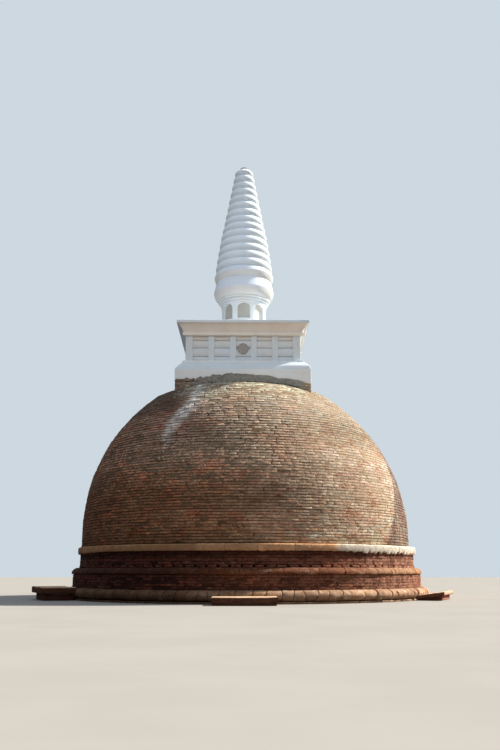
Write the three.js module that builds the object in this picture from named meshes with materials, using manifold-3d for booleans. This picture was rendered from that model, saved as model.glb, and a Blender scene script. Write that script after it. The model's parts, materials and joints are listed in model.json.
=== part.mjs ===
// Brick stupa: moulded round base, bubble-shaped brick dome, square plastered
// chamber with a railing relief, niche drum and ringed cone.
// Units are millimetres, +Z up. The origin is the centre of the base at ground
// level, and -Y is the front.

import * as THREE from "three";
import { mergeVertices } from "three/addons/utils/BufferGeometryUtils.js";
import Module from "manifold-3d";

const wasm = await Module();
wasm.setup();

// ---------------------------------------------------------------- dimensions

const GAP = 0.3; // open joint between neighbouring pieces
const ROUND = 64; // facets round the base and the dome
const SLIM = 32; // facets round the niche drum and the cone

// base, heights above the ground
const FOOTING = { radius: 4360, top: 40 };
const TORUS = { inner: 4240, crest: 4410, top: 263 };
const LOWER_DRUM = { radius: 4230, top: 558 };
const STRING = { bottomRadius: 4260, topRadius: 4140, top: 700 };
const UPPER_DRUM = { radius: 4080, top: 1020 };
const CORNICE = { radius: 4130, topRadius: 4090, seatRadius: 4030, top: 1180 };

// dome: radius at each height, up to its flat crown
const DOME = [
  [4011, 1180],
  [4006, 1700],
  [3942, 2200],
  [3835, 2700],
  [3642, 3200],
  [3376, 3700],
  [3076, 4100],
  [2806, 4400],
  [2484, 4700],
  [2250, 4872],
  [1990, 4980],
];

// square chamber, half widths and heights
const CHAMBER_FOOTING = { half: 1650, top: 5150 };
const PLINTH = {
  half: 1660,
  shoulder: 5398,
  // the splay, from the shoulder up to the neck
  splay: [
    [1636, 5425],
    [1592, 5488],
    [1515, 5566],
    [1487, 5625],
    [1484, 5650],
  ],
  top: 5650,
};
const CORE = { half: 1330, top: 6300 };
const POST = { face: 1420, corner: 180, inner: 150, centres: [-787, -261, 261, 787] };
const RAIL = { face: 1385, back: 1350, grooves: [[5765, 5795], [5985, 6015], [6175, 6205]] };
const DISC = { radius: 140, face: 1415, height: 5978 };
const FILLET = { half: 1470, top: 6390 };
const CAVETTO = { half: 1470, lip: 1625, top: 6580 };
const FASCIA = { half: 1636, top: 6660 };

// niche drum
const SILL = { radius: 640, top: 6990 };
const NICHE_DRUM = { radius: 602, top: 7480 };
const NICHE = { count: 8, half: 160, bottom: 7045, spring: 7305, depth: 75 };

// flared neck, two large rings, cone of small rings, cap and socket
const NECK = [
  [603, 7480],
  [618, 7550],
  [648, 7550],
  [656, 7612],
  [692, 7612],
  [712, 7665],
];
const LOWER_RING = { foot: 712, crest: 803, crestHeight: 7905, notch: 735, top: 8160 };
const UPPER_RING = { crest: 793, crestHeight: 8345, notch: 722, top: 8468 };
const RINGS = [
  [760, 8568],
  [730, 8789],
  [696, 9013],
  [660, 9236],
  [621, 9466],
  [583, 9676],
  [537, 9890],
  [496, 10102],
  [453, 10333],
  [412, 10547],
  [371, 10771],
  [333, 10978],
  [292, 11200],
  [252, 11425],
];
const RING_NOTCH = 42; // depth of the groove under each small ring
const CAP = { radius: 222, top: 11546 };
const SOCKET = { radius: 105, top: 11610 };

// altar slabs against the base; bearing in degrees from the front towards the right
const ALTARS = {
  front: { bearing: 0, reach: 5000, half: 635, supportTop: 75, top: 155, inset: 25 },
  right: { bearing: 68, reach: 5005, half: 700, supportTop: 110, top: 225, inset: 90 },
  back: { bearing: 180, reach: 5000, half: 635, supportTop: 75, top: 155, inset: 25 },
  left: { bearing: -68, reach: 5005, half: 700, supportTop: 150, top: 285, inset: 90 },
};

// ------------------------------------------------------------------ finishes

const finish = (name, color, roughness, metalness = 0) =>
  new THREE.MeshStandardMaterial({ name, color, roughness, metalness });

const brick = () => finish("brick", 0x8f6a52, 0.95);
const mouldedBrick = () => finish("moulded_brick", 0x9c7256, 0.95);
const limestone = () => finish("limestone", 0xc9b89c, 0.9);
const plaster = () => finish("plaster", 0xe6e6e4, 0.8);
const nichePlaster = () => finish("niche_plaster", 0xb8b6ab, 0.85);
const cement = () => finish("cement", 0x86827a, 0.92);
const altarStone = () => finish("altar_stone", 0x6f5a4c, 0.92);
const grey = () => finish("grey_disc", 0x84807a, 0.85);
const iron = () => finish("iron", 0x4a463f, 0.7, 0.6);

// ------------------------------------------------------------------- helpers

const stupa = new THREE.Group();
stupa.name = "stupa";

const add = (name, geometry, material, place = () => {}) => {
  const mesh = new THREE.Mesh(geometry, material);
  mesh.name = name;
  place(mesh);
  stupa.add(mesh);
  return mesh;
};

// a solid of revolution about Z from [radius, height] pairs, bottom to top
const turned = (profile, segments) => {
  const points = [
    new THREE.Vector2(0, profile[0][1]),
    ...profile.map(([r, z]) => new THREE.Vector2(r, z)),
    new THREE.Vector2(0, profile[profile.length - 1][1]),
  ];
  const geometry = new THREE.LatheGeometry(points, segments);
  geometry.rotateX(Math.PI / 2); // the lathe turns about Y
  return geometry;
};

// the same with a square plan, from [half width, height] pairs
const squared = (profile) => {
  const geometry = turned(
    profile.map(([half, z]) => [half * Math.SQRT2, z]),
    4,
  );
  geometry.rotateZ(Math.PI / 4);
  return geometry;
};

// an outline in plan raised from one height to another
const raised = (outline, bottom, top) => {
  const shape = new THREE.Shape(outline.map(([x, y]) => new THREE.Vector2(x, y)));
  const geometry = new THREE.ExtrudeGeometry(shape, {
    depth: top - bottom,
    bevelEnabled: false,
  });
  geometry.translate(0, 0, bottom);
  return geometry;
};

const toSolid = (geometry) => {
  const bare = geometry.clone();
  bare.deleteAttribute("normal");
  bare.deleteAttribute("uv");
  const merged = mergeVertices(bare, 1e-3);
  return new wasm.Manifold(
    new wasm.Mesh({
      numProp: 3,
      vertProperties: new Float32Array(merged.attributes.position.array),
      triVerts: new Uint32Array(merged.index.array),
    }),
  );
};

const toGeometry = (solid) => {
  const mesh = solid.getMesh();
  const geometry = new THREE.BufferGeometry();
  geometry.setAttribute("position", new THREE.BufferAttribute(mesh.vertProperties, 3));
  geometry.setIndex(new THREE.BufferAttribute(mesh.triVerts, 1));
  geometry.computeVertexNormals();
  return geometry;
};

const block = (x0, x1, y0, y1, z0, z1) => {
  const geometry = new THREE.BoxGeometry(x1 - x0, y1 - y0, z1 - z0);
  geometry.translate((x0 + x1) / 2, (y0 + y1) / 2, (z0 + z1) / 2);
  return geometry;
};

const quarter = (turns) => (mesh) => {
  mesh.rotation.z = (turns * Math.PI) / 2;
};

const SIDES = [
  ["front", 0],
  ["right", 1],
  ["back", 2],
  ["left", 3],
];

// ---------------------------------------------------------------------- base

add("footing_course", turned([[FOOTING.radius, 0], [FOOTING.radius, FOOTING.top]], ROUND), mouldedBrick());

// half-round section between the footing and the lower drum
const torusProfile = [];
{
  const bottom = FOOTING.top + GAP;
  const middle = (bottom + TORUS.top) / 2;
  const halfHeight = (TORUS.top - bottom) / 2;
  for (let i = 0; i <= 6; i += 1) {
    const angle = -Math.PI / 2 + (i * Math.PI) / 6;
    torusProfile.push([
      TORUS.inner + (TORUS.crest - TORUS.inner) * Math.cos(angle),
      middle + halfHeight * Math.sin(angle),
    ]);
  }
}
add("base_torus", turned(torusProfile, ROUND), mouldedBrick());

add(
  "lower_drum",
  turned([[LOWER_DRUM.radius, TORUS.top + GAP], [LOWER_DRUM.radius, LOWER_DRUM.top]], ROUND),
  brick(),
);

// quarter-round section that swells towards its foot
const stringProfile = [];
{
  const bottom = LOWER_DRUM.top + GAP;
  for (let i = 0; i <= 4; i += 1) {
    const angle = (i * Math.PI) / 8;
    stringProfile.push([
      STRING.topRadius + (STRING.bottomRadius - STRING.topRadius) * Math.cos(angle),
      bottom + 30 + (STRING.top - bottom - 30) * Math.sin(angle),
    ]);
  }
  stringProfile.unshift([STRING.bottomRadius - 12, bottom]);
}
add("string_course", turned(stringProfile, ROUND), mouldedBrick());

add(
  "upper_drum",
  turned([[UPPER_DRUM.radius, STRING.top + GAP], [UPPER_DRUM.radius, UPPER_DRUM.top]], ROUND),
  brick(),
);

add(
  "cornice",
  turned(
    [
      [CORNICE.radius - 15, UPPER_DRUM.top + GAP],
      [CORNICE.radius, UPPER_DRUM.top + 60],
      [CORNICE.topRadius, CORNICE.top - 30],
      [CORNICE.seatRadius, CORNICE.top],
    ],
    ROUND,
  ),
  limestone(),
);

// ---------------------------------------------------------------------- dome

const domeProfile = DOME.map(([r, z], i) => [r, i === 0 ? z + GAP : z]);
add("dome", turned(domeProfile, ROUND), brick());

// -------------------------------------------------------------- altar slabs

// outline whose inner end follows the torus
const altarOutline = (reach, half, inset) => {
  const inner = TORUS.crest + 8 * GAP;
  const outer = reach - inset;
  const side = half - inset;
  const swing = Math.asin(side / inner);
  const outline = [
    [-side, -outer],
    [side, -outer],
  ];
  for (let i = 0; i <= 6; i += 1) {
    const angle = swing - (2 * swing * i) / 6;
    outline.push([inner * Math.sin(angle), -inner * Math.cos(angle)]);
  }
  return outline;
};

for (const [side, altar] of Object.entries(ALTARS)) {
  const turn = quarter(altar.bearing / 90);
  add(
    `altar_support_${side}`,
    raised(altarOutline(altar.reach, altar.half, altar.inset), 0, altar.supportTop),
    altarStone(),
    turn,
  );
  add(
    `altar_slab_${side}`,
    raised(altarOutline(altar.reach, altar.half, 0), altar.supportTop + GAP, altar.top),
    altarStone(),
    turn,
  );
}

// ------------------------------------------------------------ square chamber

// the footing sits on the crown and runs down to the dome at its corners
{
  const cutter = turned(
    DOME.map(([r, z]) => [r + GAP, z + GAP]),
    ROUND,
  );
  const foot = squared([
    [CHAMBER_FOOTING.half, 4700],
    [CHAMBER_FOOTING.half, CHAMBER_FOOTING.top],
  ]);
  add("chamber_footing", toGeometry(toSolid(foot).subtract(toSolid(cutter))), cement());
}

add(
  "chamber_plinth",
  squared([
    [PLINTH.half, CHAMBER_FOOTING.top + GAP],
    [PLINTH.half, PLINTH.shoulder],
    ...PLINTH.splay,
  ]),
  plaster(),
);

add(
  "chamber_core",
  squared([
    [CORE.half, PLINTH.top + GAP],
    [CORE.half, CORE.top],
  ]),
  plaster(),
);

// corner posts wrap the corners of the core
{
  const face = POST.face;
  const arm = POST.face - POST.corner;
  const back = CORE.half + GAP;
  const outline = [
    [face, -face],
    [face, -arm],
    [back, -arm],
    [back, -back],
    [arm, -back],
    [arm, -face],
  ];
  const names = ["front_right", "back_right", "back_left", "front_left"];
  names.forEach((name, turns) => {
    add(
      `corner_post_${name}`,
      raised(outline, PLINTH.top + GAP, CORE.top),
      plaster(),
      quarter(turns),
    );
  });
}

// railing relief of one side: backing, four posts and grooved rails
{
  const back = CORE.half + GAP;
  const reach = POST.face - POST.corner - GAP;
  const bottom = PLINTH.top + GAP;
  const parts = [block(-reach, reach, -RAIL.back, -back, bottom, CORE.top)];
  let low = bottom;
  for (const [start, end] of [...RAIL.grooves, [CORE.top, CORE.top]]) {
    parts.push(block(-reach, reach, -RAIL.face, -back, low, start));
    low = end;
  }
  for (const centre of POST.centres) {
    parts.push(
      block(centre - POST.inner / 2, centre + POST.inner / 2, -POST.face, -back, bottom, CORE.top),
    );
  }
  let solid = toSolid(parts[0]);
  for (const part of parts.slice(1)) solid = solid.add(toSolid(part));
  for (const [side, turns] of SIDES) {
    add(`railing_${side}`, toGeometry(solid), plaster(), quarter(turns));
  }
}

// plain disc in the middle bay of each side
for (const [side, turns] of SIDES) {
  const thickness = DISC.face - RAIL.face - GAP;
  const geometry = new THREE.CylinderGeometry(DISC.radius, DISC.radius - 12, thickness, 28);
  geometry.translate(0, -(DISC.face + RAIL.face + GAP) / 2, DISC.height);
  add(`disc_${side}`, geometry, grey(), quarter(turns));
}

add("chamber_fillet", squared([[FILLET.half, CORE.top + GAP], [FILLET.half, FILLET.top]]), plaster());

const cavettoProfile = [];
{
  const bottom = FILLET.top + GAP;
  for (let i = 0; i <= 5; i += 1) {
    const angle = (i * Math.PI) / 10;
    cavettoProfile.push([
      CAVETTO.half + (CAVETTO.lip - CAVETTO.half) * (1 - Math.cos(angle)),
      bottom + (CAVETTO.top - bottom) * Math.sin(angle),
    ]);
  }
}
add("chamber_cavetto", squared(cavettoProfile), plaster());

add("chamber_fascia", squared([[FASCIA.half, CAVETTO.top + GAP], [FASCIA.half, FASCIA.top]]), plaster());

// ---------------------------------------------------------------- niche drum

add("drum_sill", turned([[SILL.radius, FASCIA.top + GAP], [SILL.radius, SILL.top]], SLIM), plaster());

// drum with round-arched recesses
{
  let drum = toSolid(
    turned([[NICHE_DRUM.radius, SILL.top + GAP], [NICHE_DRUM.radius, NICHE_DRUM.top]], SLIM),
  );
  const arch = new THREE.Shape();
  arch.moveTo(-NICHE.half, NICHE.bottom);
  arch.lineTo(NICHE.half, NICHE.bottom);
  arch.lineTo(NICHE.half, NICHE.spring);
  for (let i = 1; i <= 10; i += 1) {
    const angle = (i * Math.PI) / 10;
    arch.lineTo(NICHE.half * Math.cos(angle), NICHE.spring + NICHE.half * Math.sin(angle));
  }
  const recess = new THREE.ExtrudeGeometry(arch, { depth: 400, bevelEnabled: false });
  recess.rotateX(Math.PI / 2); // height along Z, depth along -Y
  recess.translate(0, -(NICHE_DRUM.radius - NICHE.depth), 0);
  for (let i = 0; i < NICHE.count; i += 1) {
    const turned45 = recess.clone();
    turned45.rotateZ((i * 2 * Math.PI) / NICHE.count);
    drum = drum.subtract(toSolid(turned45));
  }
  add("niche_drum", toGeometry(drum), nichePlaster());
}

// --------------------------------------------------------------------- cone

add("neck_mouldings", turned(NECK.map(([r, z], i) => [r, i === 0 ? z + GAP : z]), SLIM), plaster());

const bulge = (r0, z0, r1, z1, r2, z2) => [
  [r0, z0],
  [r0 + (r1 - r0) * 0.62, z0 + (z1 - z0) * 0.3],
  [r0 + (r1 - r0) * 0.92, z0 + (z1 - z0) * 0.66],
  [r1, z1],
  [r2 + (r1 - r2) * 0.88, z1 + (z2 - z1) * 0.4],
  [r2 + (r1 - r2) * 0.5, z1 + (z2 - z1) * 0.76],
  [r2, z2],
];

const neckTop = NECK[NECK.length - 1][1];
add(
  "lower_ring",
  turned(
    bulge(
      LOWER_RING.foot, neckTop + GAP,
      LOWER_RING.crest, LOWER_RING.crestHeight,
      LOWER_RING.notch, LOWER_RING.top,
    ),
    SLIM,
  ),
  plaster(),
);
add(
  "upper_ring",
  turned(
    bulge(
      LOWER_RING.notch, LOWER_RING.top + GAP,
      UPPER_RING.crest, UPPER_RING.crestHeight,
      UPPER_RING.notch, UPPER_RING.top,
    ),
    SLIM,
  ),
  plaster(),
);

// small rings: a crest at each listed height, a groove between neighbours
const cone = [[UPPER_RING.notch, UPPER_RING.top + GAP]];
RINGS.forEach(([r, z], i) => {
  const next = RINGS[i + 1] ?? [CAP.radius + RING_NOTCH, z + 150];
  cone.push([r, z - 32], [r - 4, z + 28]);
  cone.push([Math.min(r, next[0]) - RING_NOTCH, (z + next[1]) / 2]);
});
const coneTop = cone[cone.length - 1][1];
cone[cone.length - 1][0] = CAP.radius;
add("ringed_cone", turned(cone, SLIM), plaster());

add(
  "cone_cap",
  turned(
    [
      [CAP.radius, coneTop + GAP],
      [CAP.radius - 12, coneTop + 18],
      [CAP.radius - 50, CAP.top - 14],
      [CAP.radius - 100, CAP.top],
    ],
    SLIM,
  ),
  plaster(),
);
add("cap_socket", turned([[SOCKET.radius, CAP.top + GAP], [SOCKET.radius - 6, SOCKET.top]], 16), iron());

export default stupa;
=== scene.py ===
import json
import math

import bpy
import bmesh
import numpy as np
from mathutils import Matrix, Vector

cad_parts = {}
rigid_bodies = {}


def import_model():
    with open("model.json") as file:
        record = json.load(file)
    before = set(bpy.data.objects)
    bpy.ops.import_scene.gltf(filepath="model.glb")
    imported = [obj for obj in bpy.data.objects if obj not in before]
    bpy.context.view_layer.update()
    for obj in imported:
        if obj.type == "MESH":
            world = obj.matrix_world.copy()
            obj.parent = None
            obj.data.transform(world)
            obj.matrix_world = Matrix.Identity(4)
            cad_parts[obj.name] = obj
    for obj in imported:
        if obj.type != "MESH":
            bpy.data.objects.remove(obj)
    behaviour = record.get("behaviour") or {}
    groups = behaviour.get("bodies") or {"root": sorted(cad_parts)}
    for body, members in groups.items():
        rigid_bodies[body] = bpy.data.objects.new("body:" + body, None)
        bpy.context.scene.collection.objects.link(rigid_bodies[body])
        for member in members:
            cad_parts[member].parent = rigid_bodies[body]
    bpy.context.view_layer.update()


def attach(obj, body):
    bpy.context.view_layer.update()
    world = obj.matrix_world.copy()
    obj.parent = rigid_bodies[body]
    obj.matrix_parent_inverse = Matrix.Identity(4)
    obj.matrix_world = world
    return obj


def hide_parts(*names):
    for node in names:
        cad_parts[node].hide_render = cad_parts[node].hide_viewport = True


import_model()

TAU = math.tau
frame_names = {ob.name for ob in bpy.data.objects}

# ------------------------------------------------------------------ dimensions
# metres, the same as in the construction model

DOME = np.array([
    (4.011, 1.180), (4.006, 1.700), (3.942, 2.200), (3.835, 2.700), (3.642, 3.200),
    (3.376, 3.700), (3.076, 4.100), (2.806, 4.400), (2.484, 4.700), (2.250, 4.872),
    (1.990, 4.980), (1.660, 5.055), (1.100, 5.120),
])
COURSE = 0.0620          # one brick course with its joint
BRICK_LENGTH = (0.160, 0.300)
JOINT = 0.0120           # bed joint
HEAD = 0.0040            # joint between two bricks of a course

# The stupa was laid by hand and stands a little out of true: how far each part
# of it stands to the right of the middle.
BASE_SHIFT = 0.060
CHAMBER_SHIFT = -0.046
SPIRE_SHIFT = -0.030
LEAN_Z = [1.20, 1.90, 2.60, 3.20, 3.80, 4.20, 4.50, 4.75, 5.00, 5.20]
LEAN_X = [0.018, 0.005, -0.008, -0.022, -0.042, -0.060, -0.075, -0.085, -0.080, -0.050]

# ------------------------------------------------------------------- small maths

def pchip(x, y):
    """Monotone cubic through (x, y); returns a function of arrays."""
    x, y = np.asarray(x, float), np.asarray(y, float)
    h = np.diff(x)
    d = np.diff(y) / h
    m = np.zeros_like(y)
    m[0], m[-1] = d[0], d[-1]
    for i in range(1, len(y) - 1):
        if d[i - 1] * d[i] > 0:
            w1, w2 = 2 * h[i] + h[i - 1], h[i] + 2 * h[i - 1]
            m[i] = (w1 + w2) / (w1 / d[i - 1] + w2 / d[i])

    def f(q):
        q = np.asarray(q, float)
        i = np.clip(np.searchsorted(x, q) - 1, 0, len(h) - 1)
        t = np.clip((q - x[i]) / h[i], 0, 1)
        return (
            (2 * t**3 - 3 * t**2 + 1) * y[i]
            + (t**3 - 2 * t**2 + t) * h[i] * m[i]
            + (-2 * t**3 + 3 * t**2) * y[i + 1]
            + (t**3 - t**2) * h[i] * m[i + 1]
        )

    return f


dome_radius = pchip(DOME[:, 1], DOME[:, 0])

_waves = np.random.default_rng(91).uniform(-1, 1, (40, 4))


def swell(a, z, scale=1.0, low=2, high=9):
    """Smooth unevenness over azimuth a and height z, about -1 to 1."""
    total = np.zeros(np.broadcast(a, z).shape)
    weight = 0.0
    for i, (p, q, r, s) in enumerate(_waves[:18]):
        k = low + int((high - low) * i / 17)
        amp = 1.0 / (1 + 0.25 * i)
        total = total + amp * np.sin(k * a + 3.1 * p + (1.2 + 2.4 * abs(q)) * z * scale + 6.3 * r) * np.cos(
            1.7 * s * z * scale + 5 * q
        )
        weight += amp * amp * 0.25
    return total / math.sqrt(weight) * 0.5


def hash01(*values):
    """A repeatable value from 0 to 1 for arrays of numbers."""
    t = np.zeros(np.broadcast(*values).shape)
    for i, v in enumerate(values):
        t = t + np.asarray(v, float) * (12.9898 + 65.233 * i)
    t = np.sin(t) * 43758.5453
    return t - np.floor(t)


def smooth(t, a, b):
    t = np.clip((np.asarray(t, float) - a) / (b - a), 0, 1)
    return t * t * (3 - 2 * t)


# --------------------------------------------------------------------- mesh help


def make_mesh(name, verts, faces, smooth_angle=None, attributes=None, flat=False):
    """faces: list of tuples, or an int array of quads."""
    me = bpy.data.meshes.new(name)
    verts = np.asarray(verts, np.float32).reshape(-1, 3)
    if isinstance(faces, np.ndarray):
        n, k = faces.shape
        me.vertices.add(len(verts))
        me.vertices.foreach_set("co", verts.ravel())
        me.loops.add(n * k)
        me.loops.foreach_set("vertex_index", faces.astype(np.int32).ravel())
        me.polygons.add(n)
        me.polygons.foreach_set("loop_start", np.arange(0, n * k, k, dtype=np.int32))
        me.polygons.foreach_set("loop_total", np.full(n, k, np.int32))
        me.update(calc_edges=True)
    else:
        me.from_pydata([tuple(map(float, v)) for v in verts], [], [tuple(int(i) for i in f) for f in faces])
        me.update()
    for key, (domain, values) in (attributes or {}).items():
        values = np.asarray(values, np.float32)
        kind = "FLOAT" if values.ndim == 1 else "FLOAT_VECTOR"
        layer = me.attributes.new(key, kind, domain)
        layer.data.foreach_set("value" if kind == "FLOAT" else "vector", values.ravel())
    me.validate()
    if not flat:
        me.polygons.foreach_set("use_smooth", np.ones(len(me.polygons), bool))
        if smooth_angle is not None:
            me.set_sharp_from_angle(angle=math.radians(smooth_angle))
    ob = bpy.data.objects.new(name, me)
    bpy.context.scene.collection.objects.link(ob)
    return ob


def finish_piece(ob, material, replaces=()):
    ob.data.materials.clear()
    for m in material if isinstance(material, (list, tuple)) else [material]:
        ob.data.materials.append(m)
    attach(ob, "root")
    if replaces:
        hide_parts(*replaces)
    return ob


def around(profile, segments, wobble=None, closed_top=True, closed_bottom=True):
    """Surface of revolution from [radius, height]; wobble(a, r, z) gives new (r, z)."""
    profile = np.asarray(profile, float)
    a = np.linspace(0, TAU, segments, endpoint=False)
    R = np.repeat(profile[:, 0][:, None], segments, 1)
    Z = np.repeat(profile[:, 1][:, None], segments, 1)
    A = np.repeat(a[None, :], len(profile), 0)
    if wobble is not None:
        R, Z = wobble(A, R, Z)
    V = np.stack([R * np.sin(A), -R * np.cos(A), Z], -1).reshape(-1, 3)
    n = segments
    i = np.arange(len(profile) - 1)[:, None] * n
    j = np.arange(n)[None, :]
    jn = (j + 1) % n
    quads = np.stack([i + j, i + jn, i + n + jn, i + n + j], -1).reshape(-1, 4)
    faces = [tuple(q) for q in quads]
    verts = list(map(tuple, V))
    if closed_bottom:
        c = len(verts)
        verts.append((0, 0, float(Z[0].mean())))
        faces += [(c, int(jn[0, k]), k) for k in range(n)]
    if closed_top:
        c = len(verts)
        top = (len(profile) - 1) * n
        verts.append((0, 0, float(Z[-1].mean())))
        faces += [(c, top + k, top + int(jn[0, k])) for k in range(n)]
    return verts, faces


def square_ring(half, corner, side=10, arc=4):
    """Points of a square with rounded corners, seen from above, anticlockwise, starting on the front."""
    pts = []
    corner = min(corner, half * 0.9)
    for k in range(4):
        q = k * math.pi / 2
        c, s = math.cos(q), math.sin(q)
        run = half - corner
        local = [(-run + 2 * run * i / side, -half) for i in range(side + 1)]
        for i in range(1, arc):
            t = -math.pi / 2 + (math.pi / 2) * i / arc
            local.append((run + corner * math.cos(t), -run + corner * math.sin(t)))
        pts += [(x * c - y * s, x * s + y * c) for x, y in local]
    return np.array(pts)


def loft_square(levels, corner=0.006, side=10, arc=4, wobble=0.0, seed=0, caps=True):
    """Closed body through rounded squares; levels are (half width, height[, corner])."""
    verts, faces = [], []
    rings = []
    for lv in levels:
        c = lv[2] if len(lv) > 2 else corner
        ring = square_ring(lv[0], c, side, arc)
        rings.append(np.column_stack([ring, np.full(len(ring), lv[1])]))
    V = np.array(rings)
    if wobble:
        a = np.arctan2(V[..., 0], -V[..., 1])
        push = wobble * swell(a + seed, V[..., 2] * 3, 2.0, 3, 22)
        r = np.hypot(V[..., 0], V[..., 1])
        V[..., 0] *= 1 + push / r
        V[..., 1] *= 1 + push / r
        V[..., 2] += 0.6 * wobble * swell(a * 1.0 + seed + 9, V[..., 2] * 2, 2.0, 2, 15)
    n = V.shape[1]
    flat = V.reshape(-1, 3)
    for i in range(len(levels) - 1):
        for j in range(n):
            k = (j + 1) % n
            faces.append((i * n + j, i * n + k, (i + 1) * n + k, (i + 1) * n + j))
    verts = list(map(tuple, flat))
    if caps:
        faces.append(tuple(reversed(range(n))))
        faces.append(tuple(range((len(levels) - 1) * n, len(levels) * n)))
    return verts, faces


def join_lists(parts):
    verts, faces = [], []
    for v, f in parts:
        o = len(verts)
        verts += [tuple(p) for p in v]
        faces += [tuple(i + o for i in q) for q in f]
    return verts, faces


def turn(verts, quarter):
    q = quarter * math.pi / 2
    c, s = math.cos(q), math.sin(q)
    return [(x * c - y * s, x * s + y * c, z) for x, y, z in verts]

# ----------------------------------------------------------------- brick makers
# A brick is a closed body of 40 quads: a face with a softened, uneven edge of
# ten points, the sides and a back. Its frame is t (along the course), m (up the
# wall) and n (out of the wall).

_ring = np.array([(-1, -1), (-0.36, -1), (0.30, -1), (1, -1), (1, 0.05),
                  (1, 1), (0.33, 1), (-0.30, 1), (-1, 1), (-1, -0.05)], float)
_corner = np.array([1, 0, 0, 1, 0, 1, 0, 0, 1, 0], bool)
_upper = np.array([-1, -1, -1, -1, 0.25, 1, 1, 1, 1, 0.25], float)
POINTS = 42
QUADS = 40


def _brick_quads():
    q = []
    P = 10
    for i in range(0, P, 2):
        q.append((40, i, i + 1, (i + 2) % P))
    for k in range(3):
        for i in range(P):
            j = (i + 1) % P
            q.append((P * k + j, P * k + i, P * k + P + i, P * k + P + j))
    for i in range(0, P, 2):
        q.append((41, 30 + (i + 2) % P, 30 + i + 1, 30 + i))
    return np.array(q)


_quads = _brick_quads()


def brick_bodies(c, t, m, n, half_w, half_h, depth, seed, worn=1.0, chips=0.16):
    """Arrays of centres and frames to (verts, quads, rim); the face centre is c."""
    N = len(c)
    g = np.random.default_rng(seed)
    kept = smooth(c[:, 0], 0.2, 2.4)[:, None]
    edge = 0.0062 * worn * g.uniform(0.6, 1.5, (N, 1)) * (1 - 0.60 * kept)
    insets = [edge * 1.7, edge * 0.6, edge * 0.0, edge * 0.0 + 0.001]
    depths = [edge * 0.0, -edge * 0.5, -edge * 1.8]
    bitten = np.where(_corner[None], g.random((N, 10)) < chips, g.random((N, 10)) < chips * 0.6)
    bite = bitten * g.uniform(0.2, 1.0, (N, 10)) * worn * (1 - 0.65 * kept)
    skew = g.normal(0, 0.0020, (N, 10, 2)) * worn
    skew[:, :, 1] += g.normal(0, 0.0012, (N, 10)) * worn
    bulge = g.normal(0, 0.0014, (N, 10))
    V = np.zeros((N, POINTS, 3))
    rim = np.zeros((N, POINTS))
    for k in range(4):
        cut = bite if k < 3 else bite * 0.2
        u = _ring[None, :, 0] * (half_w[:, None] - insets[k]) + skew[..., 0]
        v = _ring[None, :, 1] * (half_h[:, None] - insets[k]) + skew[..., 1]
        u = u - _ring[None, :, 0] * cut * np.where(_corner, 1.0, 0.0)[None] * np.minimum(0.030, half_w[:, None] * 0.3)
        v = v - _ring[None, :, 1] * cut * 0.012
        if k < 3:
            w = depths[k] + bulge * (1 if k == 0 else 0.5) - bite * 0.010 * (1.0 - 0.3 * k)
        else:
            w = np.repeat(-np.asarray(depth)[:, None], 10, 1)
        V[:, 10 * k:10 * k + 10] = (c[:, None, :] + u[..., None] * t[:, None, :]
                                    + v[..., None] * m[:, None, :] + w[..., None] * n[:, None, :])
        rim[:, 10 * k:10 * k + 10] = _upper[None] * (0.35, 1.0, 0.8, 0.0)[k]
    V[:, 40] = V[:, 0:10].mean(1) + g.normal(0.0008, 0.0014, (N, 1)) * n
    V[:, 41] = V[:, 30:40].mean(1)
    F = (np.arange(N)[:, None, None] * POINTS + _quads[None]).reshape(-1, 4)
    return V.reshape(-1, 3), F, rim.ravel()


def course_wave(a, z, wave):
    """How far a course rises and stands out at azimuth a, as it was laid by eye."""
    zz = np.broadcast_to(np.asarray(z, float), np.shape(a))
    return wave * swell(a, zz, 0.35, 2, 12), 0.55 * wave * swell(a + 2, zz, 0.8, 3, 19)


def arc_bodies(arcs):
    """Closed bars along an arc; each arc is an (n, 4, 3) array of sections."""
    V, F, o = [], [], 0
    for s in arcs:
        n = len(s)
        V.append(s.reshape(-1, 3))
        i = np.arange(n - 1)[:, None] * 4
        j = np.arange(4)[None]
        jn = (j + 1) % 4
        F.append((np.stack([i + j, i + 4 + j, i + 4 + jn, i + jn], -1).reshape(-1, 4)) + o)
        F.append(np.array([[0, 1, 2, 3], [4 * n - 1, 4 * n - 2, 4 * n - 3, 4 * n - 4]]) + o)
        o += 4 * n
    return np.concatenate(V), np.concatenate(F)


def shoulder_of(z):
    """1 where the joints are washed out, below the dome's shoulder."""
    return smooth(z, 3.2, 3.45) * smooth(z, 4.1, 3.8)


def full_of(z):
    """1 where the joints are full: halfway up the dome, and around its top."""
    return smooth(z, 2.2, 2.5) * smooth(z, 3.2, 2.9) + smooth(z, 4.0, 4.3)


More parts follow.
